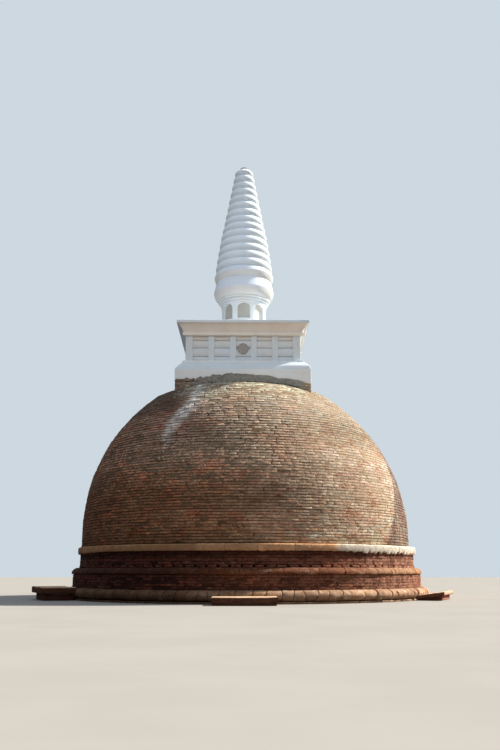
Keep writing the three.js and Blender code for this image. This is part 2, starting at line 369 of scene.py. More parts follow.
def lay_courses(z_levels, radius_of, seed, length=BRICK_LENGTH, proud=0.004, gap=JOINT, head=HEAD,
                rough=0.0032, skip=None, shift=None, depth=0.05, wave=0.010, worn=1.0, chips=0.16,
                tilt=0.08, voids=0.040, fill=0.0028, uneven_joint=(0.50, 1.45)):
    """Lays bricks in rings between the given heights, with the mortar between the bricks of each course.

    Returns (verts, quads, tint, tone, rim) of the bricks and (verts, quads) of the mortar bars."""
    g = np.random.default_rng(seed)
    rows = {k: [] for k in "ctmnwhrs"}
    arcs = []
    for row, (z0, z1) in enumerate(zip(z_levels[:-1], z_levels[1:])):
        zc = (z0 + z1) / 2
        r0, r1, rc = float(radius_of(z0)), float(radius_of(z1)), float(radius_of(zc))
        slope = math.atan2(r0 - r1, z1 - z0)  # from the vertical, inwards
        span = math.hypot(r0 - r1, z1 - z0)
        round_ = TAU * rc
        lengths = []
        while sum(lengths) < round_ - length[0] * 0.5:
            if g.random() < 0.22:
                lengths.append(g.uniform(length[0] * 0.75, length[0] * 1.1))
            else:
                lengths.append(g.uniform(length[0] * 1.1, length[1]))
        lengths = np.array(lengths) * round_ / sum(lengths)
        start = g.uniform(0, TAU)
        ends = np.concatenate([[0], np.cumsum(lengths)]) / rc + start
        count = len(lengths)
        # joints that have lost their mortar
        open_ = g.random(count) < voids
        sheltered = smooth(np.sin(ends[:-1]), 0.10, 0.50)
        open_ &= g.random(count) > 0.75 * sheltered
        wide = np.where(open_, g.uniform(0.018, 0.045, count), head * g.uniform(0.6, 1.5, count) * (1 - 0.5 * sheltered))
        left = ends[:-1] + wide / 2 / rc
        right = ends[1:] - np.roll(wide, -1) / 2 / rc
        a = (left + right) / 2
        half = (right - left) / 2 * rc
        lift, out_w = course_wave(a, zc, wave)
        kept = smooth(np.sin(a), 0.05, 0.60)
        out = rough * g.normal(0, 1, count) * (1 - 0.60 * kept) + out_w
        out = np.where(g.random(count) < 0.05, out - g.uniform(0.004, 0.012, count) * (1 - 0.7 * kept), out)
        out = np.where(g.random(count) < 0.03, out + g.uniform(0.003, 0.007, count), out)
        joint = gap * g.uniform(*uneven_joint) * float(1 + 0.38 * shoulder_of(zc) - 0.25 * full_of(zc))
        tall = span / 2 - joint / 2 * g.uniform(0.80, 1.25, count)
        lean = slope + (g.normal(0, tilt * 0.35, count) + tilt * 0.35) * (1 - 0.7 * kept)
        radial = np.stack([np.sin(a), -np.cos(a), np.zeros(count)], 1)
        tangent = np.stack([np.cos(a), np.sin(a), np.zeros(count)], 1)
        yaw = g.normal(0, 0.009, count)
        roll = g.normal(0, 0.006, count)
        radial2 = radial * np.cos(yaw)[:, None] + tangent * np.sin(yaw)[:, None]
        tangent2 = tangent * np.cos(yaw)[:, None] - radial * np.sin(yaw)[:, None]
        up = np.array([0, 0, 1.0])
        m = up[None] * np.cos(lean)[:, None] - radial2 * np.sin(lean)[:, None]
        n = radial2 * np.cos(lean)[:, None] + up[None] * np.sin(lean)[:, None]
        m, tangent2 = (m * np.cos(roll)[:, None] - tangent2 * np.sin(roll)[:, None],
                       tangent2 * np.cos(roll)[:, None] + m * np.sin(roll)[:, None])
        nn = radial * math.cos(slope) + up[None] * math.sin(slope)
        mm = up[None] * math.cos(slope) - radial * math.sin(slope)
        c = radial * rc + up[None] * zc + nn * (proud + out)[:, None] + lift[:, None] * mm
        for k, v in zip("ctmnwhrs", (c, tangent2, m, n, half, tall, g.random(count), g.random(count))):
            rows[k].append(v)
        # mortar bars, broken where a joint is open
        if fill is None:
            continue
        cuts = [k for k in range(count) if open_[k]] or [0]
        for q, k in enumerate(cuts):
            e0 = ends[k] + (wide[k] / 2 - 0.004) / rc
            nxt = cuts[(q + 1) % len(cuts)]
            e1 = ends[nxt] - (wide[nxt] / 2 - 0.004) / rc
            if e1 <= e0:
                e1 += TAU
            steps = max(2, int((e1 - e0) / 0.055) + 1)
            aa = np.linspace(e0, e1, steps)
            lf, ow = course_wave(aa, zc, wave)
            rd = np.stack([np.sin(aa), -np.cos(aa), np.zeros(steps)], 1)
            nn_ = rd * math.cos(slope) + up[None] * math.sin(slope)
            mm_ = up[None] * math.cos(slope) - rd * math.sin(slope)
            mid = rd * rc + up[None] * zc + lf[:, None] * mm_
            # the joints are fuller halfway up, and washed out at the foot and at the shoulder
            shoulder, full = float(shoulder_of(zc)), float(full_of(zc))
            kept = smooth(np.sin(aa), 0.05, 0.65) * float(0.3 + 0.7 * smooth(zc, 1.5, 2.1)) * (1 - 0.5 * shoulder)
            face = (proud + ow - fill * (1 - kept) * (1 + 0.35 * shoulder - 0.5 * full) + 0.0006 * kept
                    + g.normal(0, 0.0009, steps))
            hh = span / 2 - joint / 2 - 0.002
            back = -depth + 0.008
            s = np.stack([
                mid + nn_ * face[:, None] - mm_ * hh, mid + nn_ * face[:, None] + mm_ * hh,
                mid + nn_ * back + mm_ * hh, mid + nn_ * back - mm_ * hh,
            ], 1)
            arcs.append(s)
    C, T, M, Nn, HW, HH, R1, R2 = (np.concatenate(rows[k]) for k in "ctmnwhrs")
    if skip is not None:
        keep = ~skip(C)
        C, T, M, Nn, HW, HH, R1, R2 = (x[keep] for x in (C, T, M, Nn, HW, HH, R1, R2))
        arcs = [s for s in arcs if not skip(s[:, 0]).all()]
    if shift is not None:
        C = shift(C)
        arcs = [shift(s.reshape(-1, 3)).reshape(-1, 4, 3) for s in arcs]
    V, F, rim = brick_bodies(C, T, M, Nn, HW, HH, np.full(len(C), depth), seed + 1, worn, chips)
    bars = arc_bodies(arcs) if arcs else None
    return (V, F, np.repeat(R1, QUADS), np.repeat(R2, QUADS), rim), bars


def lean_of(z):
    return np.interp(z, LEAN_Z, LEAN_X)


def lean_points(P):
    P = np.array(P, float)
    P[:, 0] += lean_of(P[:, 2])
    return P


# --------------------------------------------------------------------- materials


def srgb(r, g, b):
    def f(c):
        c /= 255.0
        return c / 12.92 if c <= 0.04045 else ((c + 0.055) / 1.055) ** 2.4
    return (f(r), f(g), f(b), 1.0)


class Nodes:
    """Short way to write a node material."""

    def __init__(self, name, roughness=0.9, specular=0.25):
        self.mat = bpy.data.materials.new(name)
        self.mat.use_nodes = True
        self.t = self.mat.node_tree
        self.t.nodes.clear()
        self.out = self.t.nodes.new("ShaderNodeOutputMaterial")
        self.b = self.t.nodes.new("ShaderNodeBsdfPrincipled")
        self.b.inputs["Roughness"].default_value = roughness
        self.b.inputs["Specular IOR Level"].default_value = specular
        self.t.links.new(self.b.outputs[0], self.out.inputs[0])
        self.coord = self.t.nodes.new("ShaderNodeTexCoord")

    def link(self, a, b):
        self.t.links.new(a, b)

    def _in(self, socket, value):
        if isinstance(value, bpy.types.NodeSocket):
            self.t.links.new(value, socket)
        elif value is not None:
            socket.default_value = value

    def pos(self):
        return self.coord.outputs["Object"]

    def xyz(self, v=None):
        n = self.t.nodes.new("ShaderNodeSeparateXYZ")
        self._in(n.inputs[0], v or self.pos())
        return n.outputs[0], n.outputs[1], n.outputs[2]

    def scaled(self, scale, offset=(0, 0, 0)):
        n = self.t.nodes.new("ShaderNodeMapping")
        self._in(n.inputs["Vector"], self.pos())
        n.inputs["Scale"].default_value = scale if hasattr(scale, "__len__") else (scale,) * 3
        n.inputs["Location"].default_value = offset
        return n.outputs[0]

    def noise(self, scale=5.0, detail=4.0, rough=0.55, vector=None, distortion=0.0):
        n = self.t.nodes.new("ShaderNodeTexNoise")
        self._in(n.inputs["Vector"], vector or self.pos())
        n.inputs["Scale"].default_value = scale
        n.inputs["Detail"].default_value = detail
        n.inputs["Roughness"].default_value = rough
        n.inputs["Distortion"].default_value = distortion
        return n.outputs["Fac"]

    def voronoi(self, scale=5.0, vector=None, feature="F1"):
        n = self.t.nodes.new("ShaderNodeTexVoronoi")
        n.feature = feature
        self._in(n.inputs["Vector"], vector or self.pos())
        n.inputs["Scale"].default_value = scale
        return n.outputs["Distance"]

    def attr(self, name):
        n = self.t.nodes.new("ShaderNodeAttribute")
        n.attribute_name = name
        return n.outputs["Fac"]

    def ramp(self, fac, stops, interpolation="LINEAR"):
        n = self.t.nodes.new("ShaderNodeValToRGB")
        n.color_ramp.interpolation = interpolation
        el = n.color_ramp.elements
        while len(el) > 1:
            el.remove(el[-1])
        el[0].position, el[0].color = stops[0][0], stops[0][1]
        for p, c in stops[1:]:
            e = el.new(p)
            e.color = c
        self._in(n.inputs[0], fac)
        return n.outputs[0]

    def span(self, fac, a, b, lo=0.0, hi=1.0, kind="SMOOTHSTEP"):
        n = self.t.nodes.new("ShaderNodeMapRange")
        n.interpolation_type = kind
        self._in(n.inputs["Value"], fac)
        n.inputs["From Min"].default_value = a
        n.inputs["From Max"].default_value = b
        n.inputs["To Min"].default_value = lo
        n.inputs["To Max"].default_value = hi
        return n.outputs[0]

    def math(self, op, a, b=None, c=None, clamp=False):
        n = self.t.nodes.new("ShaderNodeMath")
        n.operation = op
        n.use_clamp = clamp
        self._in(n.inputs[0], a)
        if b is not None:
            self._in(n.inputs[1], b)
        if c is not None:
            self._in(n.inputs[2], c)
        return n.outputs[0]

    def mix(self, fac, a, b, blend="MIX"):
        n = self.t.nodes.new("ShaderNodeMix")
        n.data_type = "RGBA"
        n.blend_type = blend
        n.clamp_factor = True
        self._in(n.inputs["Factor"], fac)
        self._in(n.inputs[6], a)
        self._in(n.inputs[7], b)
        return n.outputs[2]

    def color(self, value):
        self._in(self.b.inputs["Base Color"], value)

    def rough(self, value):
        self._in(self.b.inputs["Roughness"], value)

    def bump(self, height, strength=0.5, distance=0.01, normal=None):
        n = self.t.nodes.new("ShaderNodeBump")
        n.inputs["Strength"].default_value = strength
        n.inputs["Distance"].default_value = distance
        self._in(n.inputs["Height"], height)
        if normal is not None:
            self._in(n.inputs["Normal"], normal)
        return n.outputs[0]

    def normal(self, value):
        self._in(self.b.inputs["Normal"], value)



def curve_z(N, z, knots, lo, hi):
    """A value that follows height through knots (z, value); values lie between lo and hi."""
    z0, z1 = knots[0][0], knots[-1][0]
    stops = []
    for kz, kv in knots:
        f = (kv - lo) / (hi - lo)
        stops.append(((kz - z0) / (z1 - z0), (f, f, f, 1.0)))
    r = N.ramp(N.span(z, z0, z1, 0.0, 1.0, "LINEAR"), stops)
    return N.math("MULTIPLY_ADD", r, hi - lo, lo)


def lime_run(N):
    """Mask of the whitish run down the dome's upper left."""
    x, y, z = N.xyz()
    front = N.span(y, -0.8, -1.4)
    middle = curve_z(N, z, [(3.10, -1.78), (3.30, -1.74), (3.49, -1.71), (3.71, -1.61), (3.91, -1.515),
                            (4.08, -1.39), (4.29, -1.222), (4.68, -1.113), (4.95, -1.02)], -2.0, 0.0)
    wander = N.math("MULTIPLY", N.math("SUBTRACT", N.noise(2.2, 4), 0.5), 0.22)
    off = N.math("ABSOLUTE", N.math("SUBTRACT", N.math("ADD", x, wander), middle))
    width = curve_z(N, z, [(3.10, 0.09), (3.5, 0.16), (3.8, 0.24), (4.2, 0.27), (4.6, 0.20), (4.95, 0.13)], 0.0, 0.5)
    core = N.span(N.math("DIVIDE", off, width), 1.05, 0.25)
    height = curve_z(N, z, [(3.12, 0.0), (3.35, 0.40), (3.55, 0.85), (4.1, 1.0), (4.5, 0.92), (4.95, 0.75)], 0.0, 1.0)
    streaks = N.span(N.noise(9.0, 6, 0.75, N.scaled((1.0, 1.0, 3.2))), 0.42, 0.56)
    return N.math("MULTIPLY", N.math("MULTIPLY", N.math("MULTIPLY", core, height), front),
                  N.math("MULTIPLY_ADD", streaks, 0.65, 0.35))


def drips(N):
    x, y, z = N.xyz()
    total = None
    for centre, low, top, width, lean in ((-0.17, 3.2, 5.1, 0.022, 0.0), (-0.66, 3.5, 5.0, 0.020, 0.0),
                                          (0.62, 3.7, 5.1, 0.022, 0.0), (3.48, 1.1, 1.9, 0.030, 0.0),
                                          (1.30, 3.4, 4.9, 0.022, 0.0)):
        d = N.math("ABSOLUTE", N.math("SUBTRACT", N.math("MULTIPLY_ADD", N.noise(3.0, 3), 0.06, x), centre + 0.03))
        m = N.math("MULTIPLY", N.span(d, width * 1.3, width * 0.4), N.math("MULTIPLY", N.span(z, low, low + 0.5),
                                                                          N.span(z, top + 0.2, top - 0.1)))
        total = m if total is None else N.math("MAXIMUM", total, m)
    gaps = N.span(N.noise(18.0, 3, 0.6, N.scaled((1, 1, 0.4))), 0.35, 0.58)
    return N.math("MULTIPLY", total, gaps)


def east_strip(N):
    """Mask of the shaded strip down the dome's far right."""
    x, y, z = N.xyz()
    ragged = N.math("MULTIPLY", N.math("SUBTRACT", N.noise(1.3, 3, 0.5), 0.5), 0.14)
    brink = N.math("MULTIPLY_ADD", z, -0.60, N.math("ADD", N.math("ADD", y, ragged), 3.26))
    strip = N.math("MULTIPLY", N.span(brink, -0.06, 0.06), N.math("MULTIPLY", N.span(z, 3.9, 3.3), N.span(x, 2.0, 2.4)))
    strip = N.math("MULTIPLY", strip, N.span(N.math("MULTIPLY_ADD", ragged, 4.0, y), -0.10, -0.80))
    runs = N.span(N.noise(3.4, 5, 0.65, N.scaled((2.2, 2.2, 0.28), (5, 5, 1))), 0.50, 0.60)
    return N.math("MULTIPLY", strip, N.math("MULTIPLY_ADD", runs, -0.50, 1.0))


def shaded_to_sunlit_weathering(N, seed=0.0, low=-3.6, high=3.6, rise=0.10, ragged=0.55):
    """0 on the damp, shaded side, 1 on the side that the weather has bleached and the sun lights; the finishes darken
    the low end as painted shade as well as damp.
    """
    x, y, z = N.xyz()
    base = N.span(x, low, high, 0.0, 1.0, "LINEAR")
    base = N.math("ADD", base, N.math("MULTIPLY", N.math("SUBTRACT", z, 3.0), rise))
    n = N.math("SUBTRACT", N.noise(1.25, 6, 0.62, N.scaled((1, 1, 1.9), (seed, 3.0, 1.0))), 0.5)
    return N.math("ADD", base, N.math("MULTIPLY", n, ragged), clamp=True)


def brick_material(name, dark, pale, weather, seed=0.0, marks=False, crust=0.5, growth=0.4, value=(0.86, 1.14),
                   gain=1.0, own=0.52, drift=1.25, dots=0.5, streaks=1.0, dashes=1.0, washed=0.0, mottled=0.40,
                   eave_shadow_bands=()):
    """dark and pale: colour stops for the damp side, darkened partly as painted shade, and for the bleached, sunlit
    side.
    """
    N = Nodes(name, 0.93, 0.2)
    r1, r2, rim = N.attr("tint"), N.attr("tone"), N.attr("rim")
    x, y, z = N.xyz()
    # colour drifts over several bricks, with each brick a little different
    slow = N.noise(2.6, 5, 0.6, N.scaled((1, 1, 3.0), (seed, 0, 2)))
    pick = N.math("MULTIPLY_ADD", r1, own, N.math("MULTIPLY_ADD", slow, drift, 0.5 - own / 2 - drift / 2), clamp=True)
    # w: 0 on the damp side, painted darker as shade, 1 on the bleached, sunlit side; every colour below that follows w
    # carries this painted shade
    w = N.math("ADD", weather(N), N.math("MULTIPLY", N.math("SUBTRACT", r2, 0.5), 0.12), clamp=True)
    body = N.mix(w, N.ramp(pick, dark), N.ramp(pick, pale))
    each = N.span(r2, 0.0, 1.0, value[0] * gain, value[1] * gain, "LINEAR")
    mottle = N.span(N.noise(15.0, 6, 0.72, N.scaled((1, 1, 2.2), (seed, 0, 0))), 0.27, 0.73, 1 - mottled, 1 + mottled)
    fine = N.span(N.noise(95.0, 3, 0.7), 0.25, 0.75, 0.86, 1.14)
    body = N.mix(1.0, body, N.math("MULTIPLY", N.math("MULTIPLY", each, mottle), fine), "MULTIPLY")
    # rosy and greenish patches, a metre or so across
    rosy = N.span(N.noise(0.95, 5, 0.6, N.scaled((1, 1, 1.8), (3 + seed, 1, 0))), 0.47, 0.62)
    body = N.mix(N.math("MULTIPLY", rosy, N.span(w, 0.3, 1.0, 0.80, 0.35)), body, N.mix(1.0, body, (1.12, 0.90, 0.83, 1), "MULTIPLY"))
    grey = N.span(N.noise(1.2, 5, 0.6, N.scaled((1, 1, 2.4), (9, 5 + seed, 0))), 0.52, 0.66)
    body = N.mix(N.math("MULTIPLY", grey, 0.7), body, N.mix(1.0, body, (0.86, 0.95, 0.91, 1), "MULTIPLY"))
    # runs of redder and of greyer bricks along a course
    red = N.span(N.noise(1.5, 3, 0.55, N.scaled((1, 1, 13.0), (2 + seed, 7, 3))), 0.615, 0.68)
    body = N.mix(N.math("MULTIPLY", red, N.span(w, 0.3, 1.0, 0.66 * streaks, 0.42 * streaks)), body, N.mix(1.0, body, (1.04, 0.60, 0.52, 1), "MULTIPLY"))
    cold = N.span(N.noise(1.7, 3, 0.55, N.scaled((1, 1, 11.0), (8, 3 + seed, 6))), 0.63, 0.69)
    body = N.mix(N.math("MULTIPLY", cold, 0.55 * streaks), body, N.mix(1.0, body, (0.52, 0.60, 0.60, 1), "MULTIPLY"))
    # crusts of lime and old mortar in flecks
    fleck = N.span(N.noise(13.0, 6, 0.75, N.scaled((1, 1, 1.9), (4, 4, 4 + seed))), 0.56, 0.70)
    crusty = N.mix(w, srgb(158, 142, 120), srgb(222, 210, 190))
    body = N.mix(N.math("MULTIPLY", fleck, crust), body, crusty)
    dot = N.span(N.noise(30.0, 4, 0.65, N.scaled((1, 1, 1.4), (1, 9, seed))), 0.64, 0.71)
    body = N.mix(N.math("MULTIPLY", dot, dots), body, N.mix(w, srgb(186, 168, 136), srgb(232, 220, 198)))
    # dabs of light and of dark along the courses, fewer where the weather has bleached them
    calm = N.span(w, 0.35, 0.90, 1.0 * dashes, 0.22 * dashes)
    if marks:
        calm = N.math("MULTIPLY", calm, N.span(z, 4.00, 4.35, 1.0, 0.50))
    light = N.span(N.noise(6.5, 4, 0.62, N.scaled((1, 1, 3.6), (5, 2 + seed, 1))), 0.555, 0.68)
    body = N.mix(N.math("MULTIPLY", light, calm), body, N.mix(1.0, body, (2.05, 1.90, 1.55, 1), "MULTIPLY"))
    black = N.span(N.noise(6.0, 4, 0.62, N.scaled((1, 1, 3.9), (1, 6 + seed, 8))), 0.55, 0.69)
    body = N.mix(N.math("MULTIPLY", black, calm), body, N.mix(1.0, body, (0.34, 0.30, 0.28, 1), "MULTIPLY"))
    if washed:
        wash = N.span(N.noise(5.0, 6, 0.7, N.scaled((1.6, 1.6, 0.35), (3, 3, seed))), 0.48, 0.57)
        fair = N.math("MULTIPLY", N.span(w, 0.55, 0.95), washed)
        body = N.mix(N.math("MULTIPLY", wash, fair), body, srgb(186, 140, 118))
        crack = N.span(N.noise(4.2, 5, 0.7, N.scaled((2.4, 2.4, 0.30), (7, 1, seed))), 0.535, 0.61)
        body = N.mix(N.math("MULTIPLY", crack, fair), body, N.mix(1.0, body, (0.30, 0.20, 0.19, 1), "MULTIPLY"))
    # dark growth
    grow = N.span(N.noise(2.0, 7, 0.72, N.scaled((1, 1, 1.5), (7, 8, 9 + seed))), 0.54, 0.74)
    body = N.mix(N.math("MULTIPLY", grow, growth), body, N.mix(1.0, body, (0.52, 0.52, 0.48, 1), "MULTIPLY"))
    # worn upper edges are painted lighter as a painted highlight where light catches them, lower edges painted darker
    # as painted shade; both strongest on the shaded side
    upper_edge_wear_and_highlight = N.math("MULTIPLY", N.span(N.noise(9.0, 5, 0.65), 0.38, 0.62, 0.15, 1.0), N.span(w, 0.3, 1.0, 1.15, 0.20))
    body = N.mix(N.math("MULTIPLY", N.span(rim, 0.15, 1.0, 0.0, 0.55, "LINEAR"), upper_edge_wear_and_highlight), body,
                 N.mix(1.0, body, (1.60, 1.54, 1.45, 1), "MULTIPLY"))
    sill = N.span(w, 0.3, 1.0, 0.62, 0.12)
    if marks:
        sill = N.math("ADD", sill, N.math("MULTIPLY", N.math("MULTIPLY", N.span(z, 3.1, 3.4), N.span(z, 4.2, 3.9)), 0.38))
    body = N.mix(N.math("MULTIPLY", N.span(rim, -0.15, -1.0, 0.0, 1.0, "LINEAR"), sill), body,
                 N.mix(1.0, body, (0.46, 0.42, 0.38, 1), "MULTIPLY"))
    # painted shadow under an overhang: darker bands just below the given heights
    for low, high in eave_shadow_bands:
        eave_shadow = N.math("MULTIPLY_ADD", N.math("SUBTRACT", N.noise(2.5, 4, 0.6), 0.5), 0.10, z)
        eave_shadow = N.math("MULTIPLY", N.span(eave_shadow, low, high), N.span(z, high + 0.14, high + 0.12))
        body = N.mix(eave_shadow, body, N.mix(1.0, body, (0.50, 0.40, 0.38, 1), "MULTIPLY"))
    if marks:
        # the crown is paler and greyer, the damp foot redder and darker
        body = N.mix(N.span(z, 2.6, 4.2), N.mix(1.0, body, (1.03, 0.98, 0.93, 1), "MULTIPLY"),
                     N.mix(1.0, body, (0.94, 1.0, 1.03, 1), "MULTIPLY"))
        # darker, redder lower left: painted shade and damp
        damp_and_shade = N.math("MULTIPLY", N.span(w, 0.78, 0.42), N.span(z, 3.05, 2.15))
        body = N.mix(damp_and_shade, body, N.mix(1.0, body, (0.70, 0.565, 0.475, 1), "MULTIPLY"))
        glow = N.math("MULTIPLY", N.span(N.noise(1.3, 5, 0.62, N.scaled((1, 1, 2.2), (6, 1, 4))), 0.50, 0.61),
                      N.math("MULTIPLY", N.span(w, 0.75, 0.40), N.span(z, 3.3, 2.6)))
        body = N.mix(glow, body, N.mix(1.0, body, (1.15, 0.88, 0.82, 1), "MULTIPLY"))
        # darker patches towards the left, below about 3.6 m
        dark_patches_left = N.math("MULTIPLY", N.span(N.noise(1.0, 5, 0.62, N.scaled((1, 1, 2.2), (1, 8, 2))), 0.50, 0.64),
                      N.math("MULTIPLY", N.span(w, 0.85, 0.40), N.span(z, 3.6, 2.9)))
        body = N.mix(dark_patches_left, body, N.mix(1.0, body, (0.72, 0.69, 0.68, 1), "MULTIPLY"))
        # darker on the right between about 3.0 and 3.8 m
        darker_right_middle = N.math("MULTIPLY", N.span(w, 0.5, 0.95), N.span(z, 3.0, 3.8))
        body = N.mix(darker_right_middle, body, N.mix(1.0, body, (0.72, 0.70, 0.67, 1), "MULTIPLY"))
        crown = N.math("MULTIPLY", N.span(z, 4.36, 4.66), N.span(x, 1.9, 1.1))
        body = N.mix(crown, body, N.mix(1.0, body, (1.10, 1.36, 1.32, 1), "MULTIPLY"))
        brow = N.math("MULTIPLY", N.span(z, 3.98, 4.40), N.span(N.math("ABSOLUTE", x), 1.7, 0.9))
        body = N.mix(brow, body, N.mix(1.0, body, (1.14, 1.19, 1.23, 1), "MULTIPLY"))
        # painted shadow of the chamber on the dome's upper left
        painted_chamber_shadow = N.math("MULTIPLY", N.span(z, 3.95, 4.35), N.span(x, -1.20, -1.70))
        body = N.mix(painted_chamber_shadow, body, N.mix(1.0, body, (0.40, 0.37, 0.36, 1), "MULTIPLY"))
        violet = N.math("MULTIPLY", N.span(x, -0.4, -1.4), N.span(z, 2.9, 3.6))
        body = N.mix(violet, body, N.mix(1.0, body, (1.03, 0.965, 1.03, 1), "MULTIPLY"))
        sunny = N.math("MULTIPLY", N.span(w, 0.55, 0.80), N.span(z, 4.7, 4.3))
        chalk = N.span(N.noise(2.6, 5, 0.62, N.scaled((1, 1, 1.9), (2, 9, 5))), 0.50, 0.60)
        body = N.mix(N.math("MULTIPLY", chalk, sunny), body, N.mix(1.0, body, (1.03, 1.12, 1.18, 1), "MULTIPLY"))
        russet = N.span(N.noise(2.1, 5, 0.62, N.scaled((1, 1, 3.4), (8, 2, 6))), 0.52, 0.63)
        body = N.mix(N.math("MULTIPLY", russet, sunny), body, N.mix(1.0, body, (0.84, 0.70, 0.62, 1), "MULTIPLY"))
        body = N.mix(N.span(w, 0.62, 0.90), body, N.mix(1.0, body, (0.98, 0.995, 0.995, 1), "MULTIPLY"))
        fair = N.math("MULTIPLY", N.span(w, 0.60, 0.85), N.math("MULTIPLY", N.span(z, 3.35, 3.0), N.span(z, 1.9, 2.5, 0.35, 1.0)))
        body = N.mix(fair, body, N.mix(1.0, body, (1.01, 1.07, 1.14, 1), "MULTIPLY"))
        blush = N.span(N.noise(1.15, 5, 0.6, N.scaled((1, 1, 1.7), (4, 6, 2))), 0.50, 0.60)
        blush = N.math("MULTIPLY", blush, N.math("MULTIPLY", sunny, N.span(z, 3.3, 2.8)))
        body = N.mix(blush, body, N.mix(1.0, body, (0.86, 0.74, 0.70, 1), "MULTIPLY"))
        thin = N.span(N.noise(1.6, 4, 0.6, N.scaled((1, 1, 17.0), (5, 3, 9))), 0.56, 0.64)
        body = N.mix(N.math("MULTIPLY", thin, sunny), body, N.mix(1.0, body, (0.80, 0.58, 0.48, 1), "MULTIPLY"))
        grit = N.span(N.noise(15.0, 4, 0.65, N.scaled((1, 1, 2.2), (3, 7, 2))), 0.575, 0.635)
        belt = N.math("MULTIPLY", N.span(z, 2.0, 2.5, 0.40, 1.0), N.span(z, 3.7, 3.2, 0.30, 1.0))
        grit = N.math("MULTIPLY", N.math("MULTIPLY", grit, belt),
                      N.math("MULTIPLY", N.span(w, 0.85, 0.50), N.math("MULTIPLY", N.span(z, 4.3, 3.9), N.span(x, -3.5, -2.8, 0.3, 1.0))))
        body = N.mix(N.math("MULTIPLY", grit, 0.80), body, N.mix(N.span(z, 3.0, 2.3), srgb(238, 224, 200), srgb(212, 186, 148)))
        body = N.mix(east_strip(N), body, N.mix(1.0, body, (0.42, 0.37, 0.40, 1), "MULTIPLY"))
        edge = N.span(x, -2.9, -3.6)
        body = N.mix(edge, body, N.mix(1.0, body, (0.88, 0.98, 1.05, 1), "MULTIPLY"))
        lower = N.math("MULTIPLY", N.span(z, 1.95, 1.60), N.span(N.math("ABSOLUTE", N.math("SUBTRACT", x, 0.2)), 2.0, 1.2))
        body = N.mix(lower, body, N.mix(1.0, body, (1.14, 1.22, 1.24, 1), "MULTIPLY"))
        seat = N.math("MULTIPLY", N.span(z, 2.5, 2.2), N.math("MULTIPLY", N.span(z, 1.6, 1.9), N.span(N.math("ABSOLUTE", N.math("SUBTRACT", x, 1.15)), 0.9, 0.4)))
        body = N.mix(seat, body, N.mix(1.0, body, (0.76, 0.72, 0.70, 1), "MULTIPLY"))
        spots = N.span(N.noise(3.2, 4, 0.6, N.scaled((1, 1, 2.6), (2, 2, 8))), 0.50, 0.60)
        body = N.mix(N.math("MULTIPLY", spots, seat), body, N.mix(1.0, body, (0.66, 0.56, 0.52, 1), "MULTIPLY"))
        pale_spots = N.span(N.noise(3.6, 4, 0.6, N.scaled((1, 1, 3.0), (6, 1, 3))), 0.54, 0.62)
        body = N.mix(N.math("MULTIPLY", pale_spots, seat), body, N.mix(1.0, body, (1.50, 1.50, 1.52, 1), "MULTIPLY"))
        belly = N.math("MULTIPLY", N.math("MULTIPLY", N.span(z, 2.25, 2.55), N.span(z, 3.35, 3.05)),
                       N.span(N.math("ABSOLUTE", N.math("ADD", x, 0.25)), 1.2, 0.6))
        body = N.mix(belly, body, N.mix(1.0, body, (1.17, 1.17, 1.17, 1), "MULTIPLY"))
        shoulder = N.math("MULTIPLY", N.math("MULTIPLY", N.span(z, 3.25, 3.5), N.span(z, 4.15, 3.85)), N.span(x, 1.5, 1.9))
        body = N.mix(shoulder, body, N.mix(1.0, body, (0.87, 0.86, 0.85, 1), "MULTIPLY"))
        foot = N.span(z, 1.45, 1.22)
        body = N.mix(N.math("MULTIPLY", foot, 0.7), body, N.mix(1.0, body, (0.66, 0.72, 0.66, 1), "MULTIPLY"))
        rubble = N.math("MULTIPLY", N.math("MULTIPLY", N.span(z, 4.58, 4.84), N.span(y, -1.0, -1.5)),
                        N.math("MULTIPLY", N.span(x, -0.05, -0.55), N.span(x, -1.60, -1.20)))
        rubble = N.math("MULTIPLY", rubble, N.span(N.noise(9.0, 5, 0.7), 0.40, 0.56))
        body = N.mix(N.math("MULTIPLY", rubble, 0.95), body, srgb(190, 184, 172))
        pits = N.math("MULTIPLY", N.math("MULTIPLY", N.span(z, 4.52, 4.74), N.span(y, -1.0, -1.5)),
                      N.math("MULTIPLY", N.span(x, 0.30, -0.20), N.span(x, -1.75, -1.40)))
        pits = N.math("MULTIPLY", pits, N.span(N.noise(7.5, 5, 0.7, N.scaled((1, 1, 2.0), (4, 2, 7))), 0.54, 0.62))
        body = N.mix(N.math("MULTIPLY", pits, 0.9), body, N.mix(1.0, body, (0.26, 0.22, 0.19, 1), "MULTIPLY"))
        lime = N.math("MULTIPLY", lime_run(N), N.span(r1, 0.10, 0.60, 0.60, 1.0))
        body = N.mix(lime, body, srgb(244, 240, 234))
        body = N.mix(N.math("MULTIPLY", drips(N), 0.22), body, srgb(206, 200, 190))
    N.color(body)
    h = N.math("ADD", N.math("MULTIPLY", N.noise(70.0, 6, 0.75), 1.0), N.math("MULTIPLY", N.noise(18.0, 4, 0.6), 1.6))
    N.normal(N.bump(h, 0.75, 0.006))
    N.rough(N.span(mottle, 0.7, 1.2, 0.97, 0.86))
    return N.mat


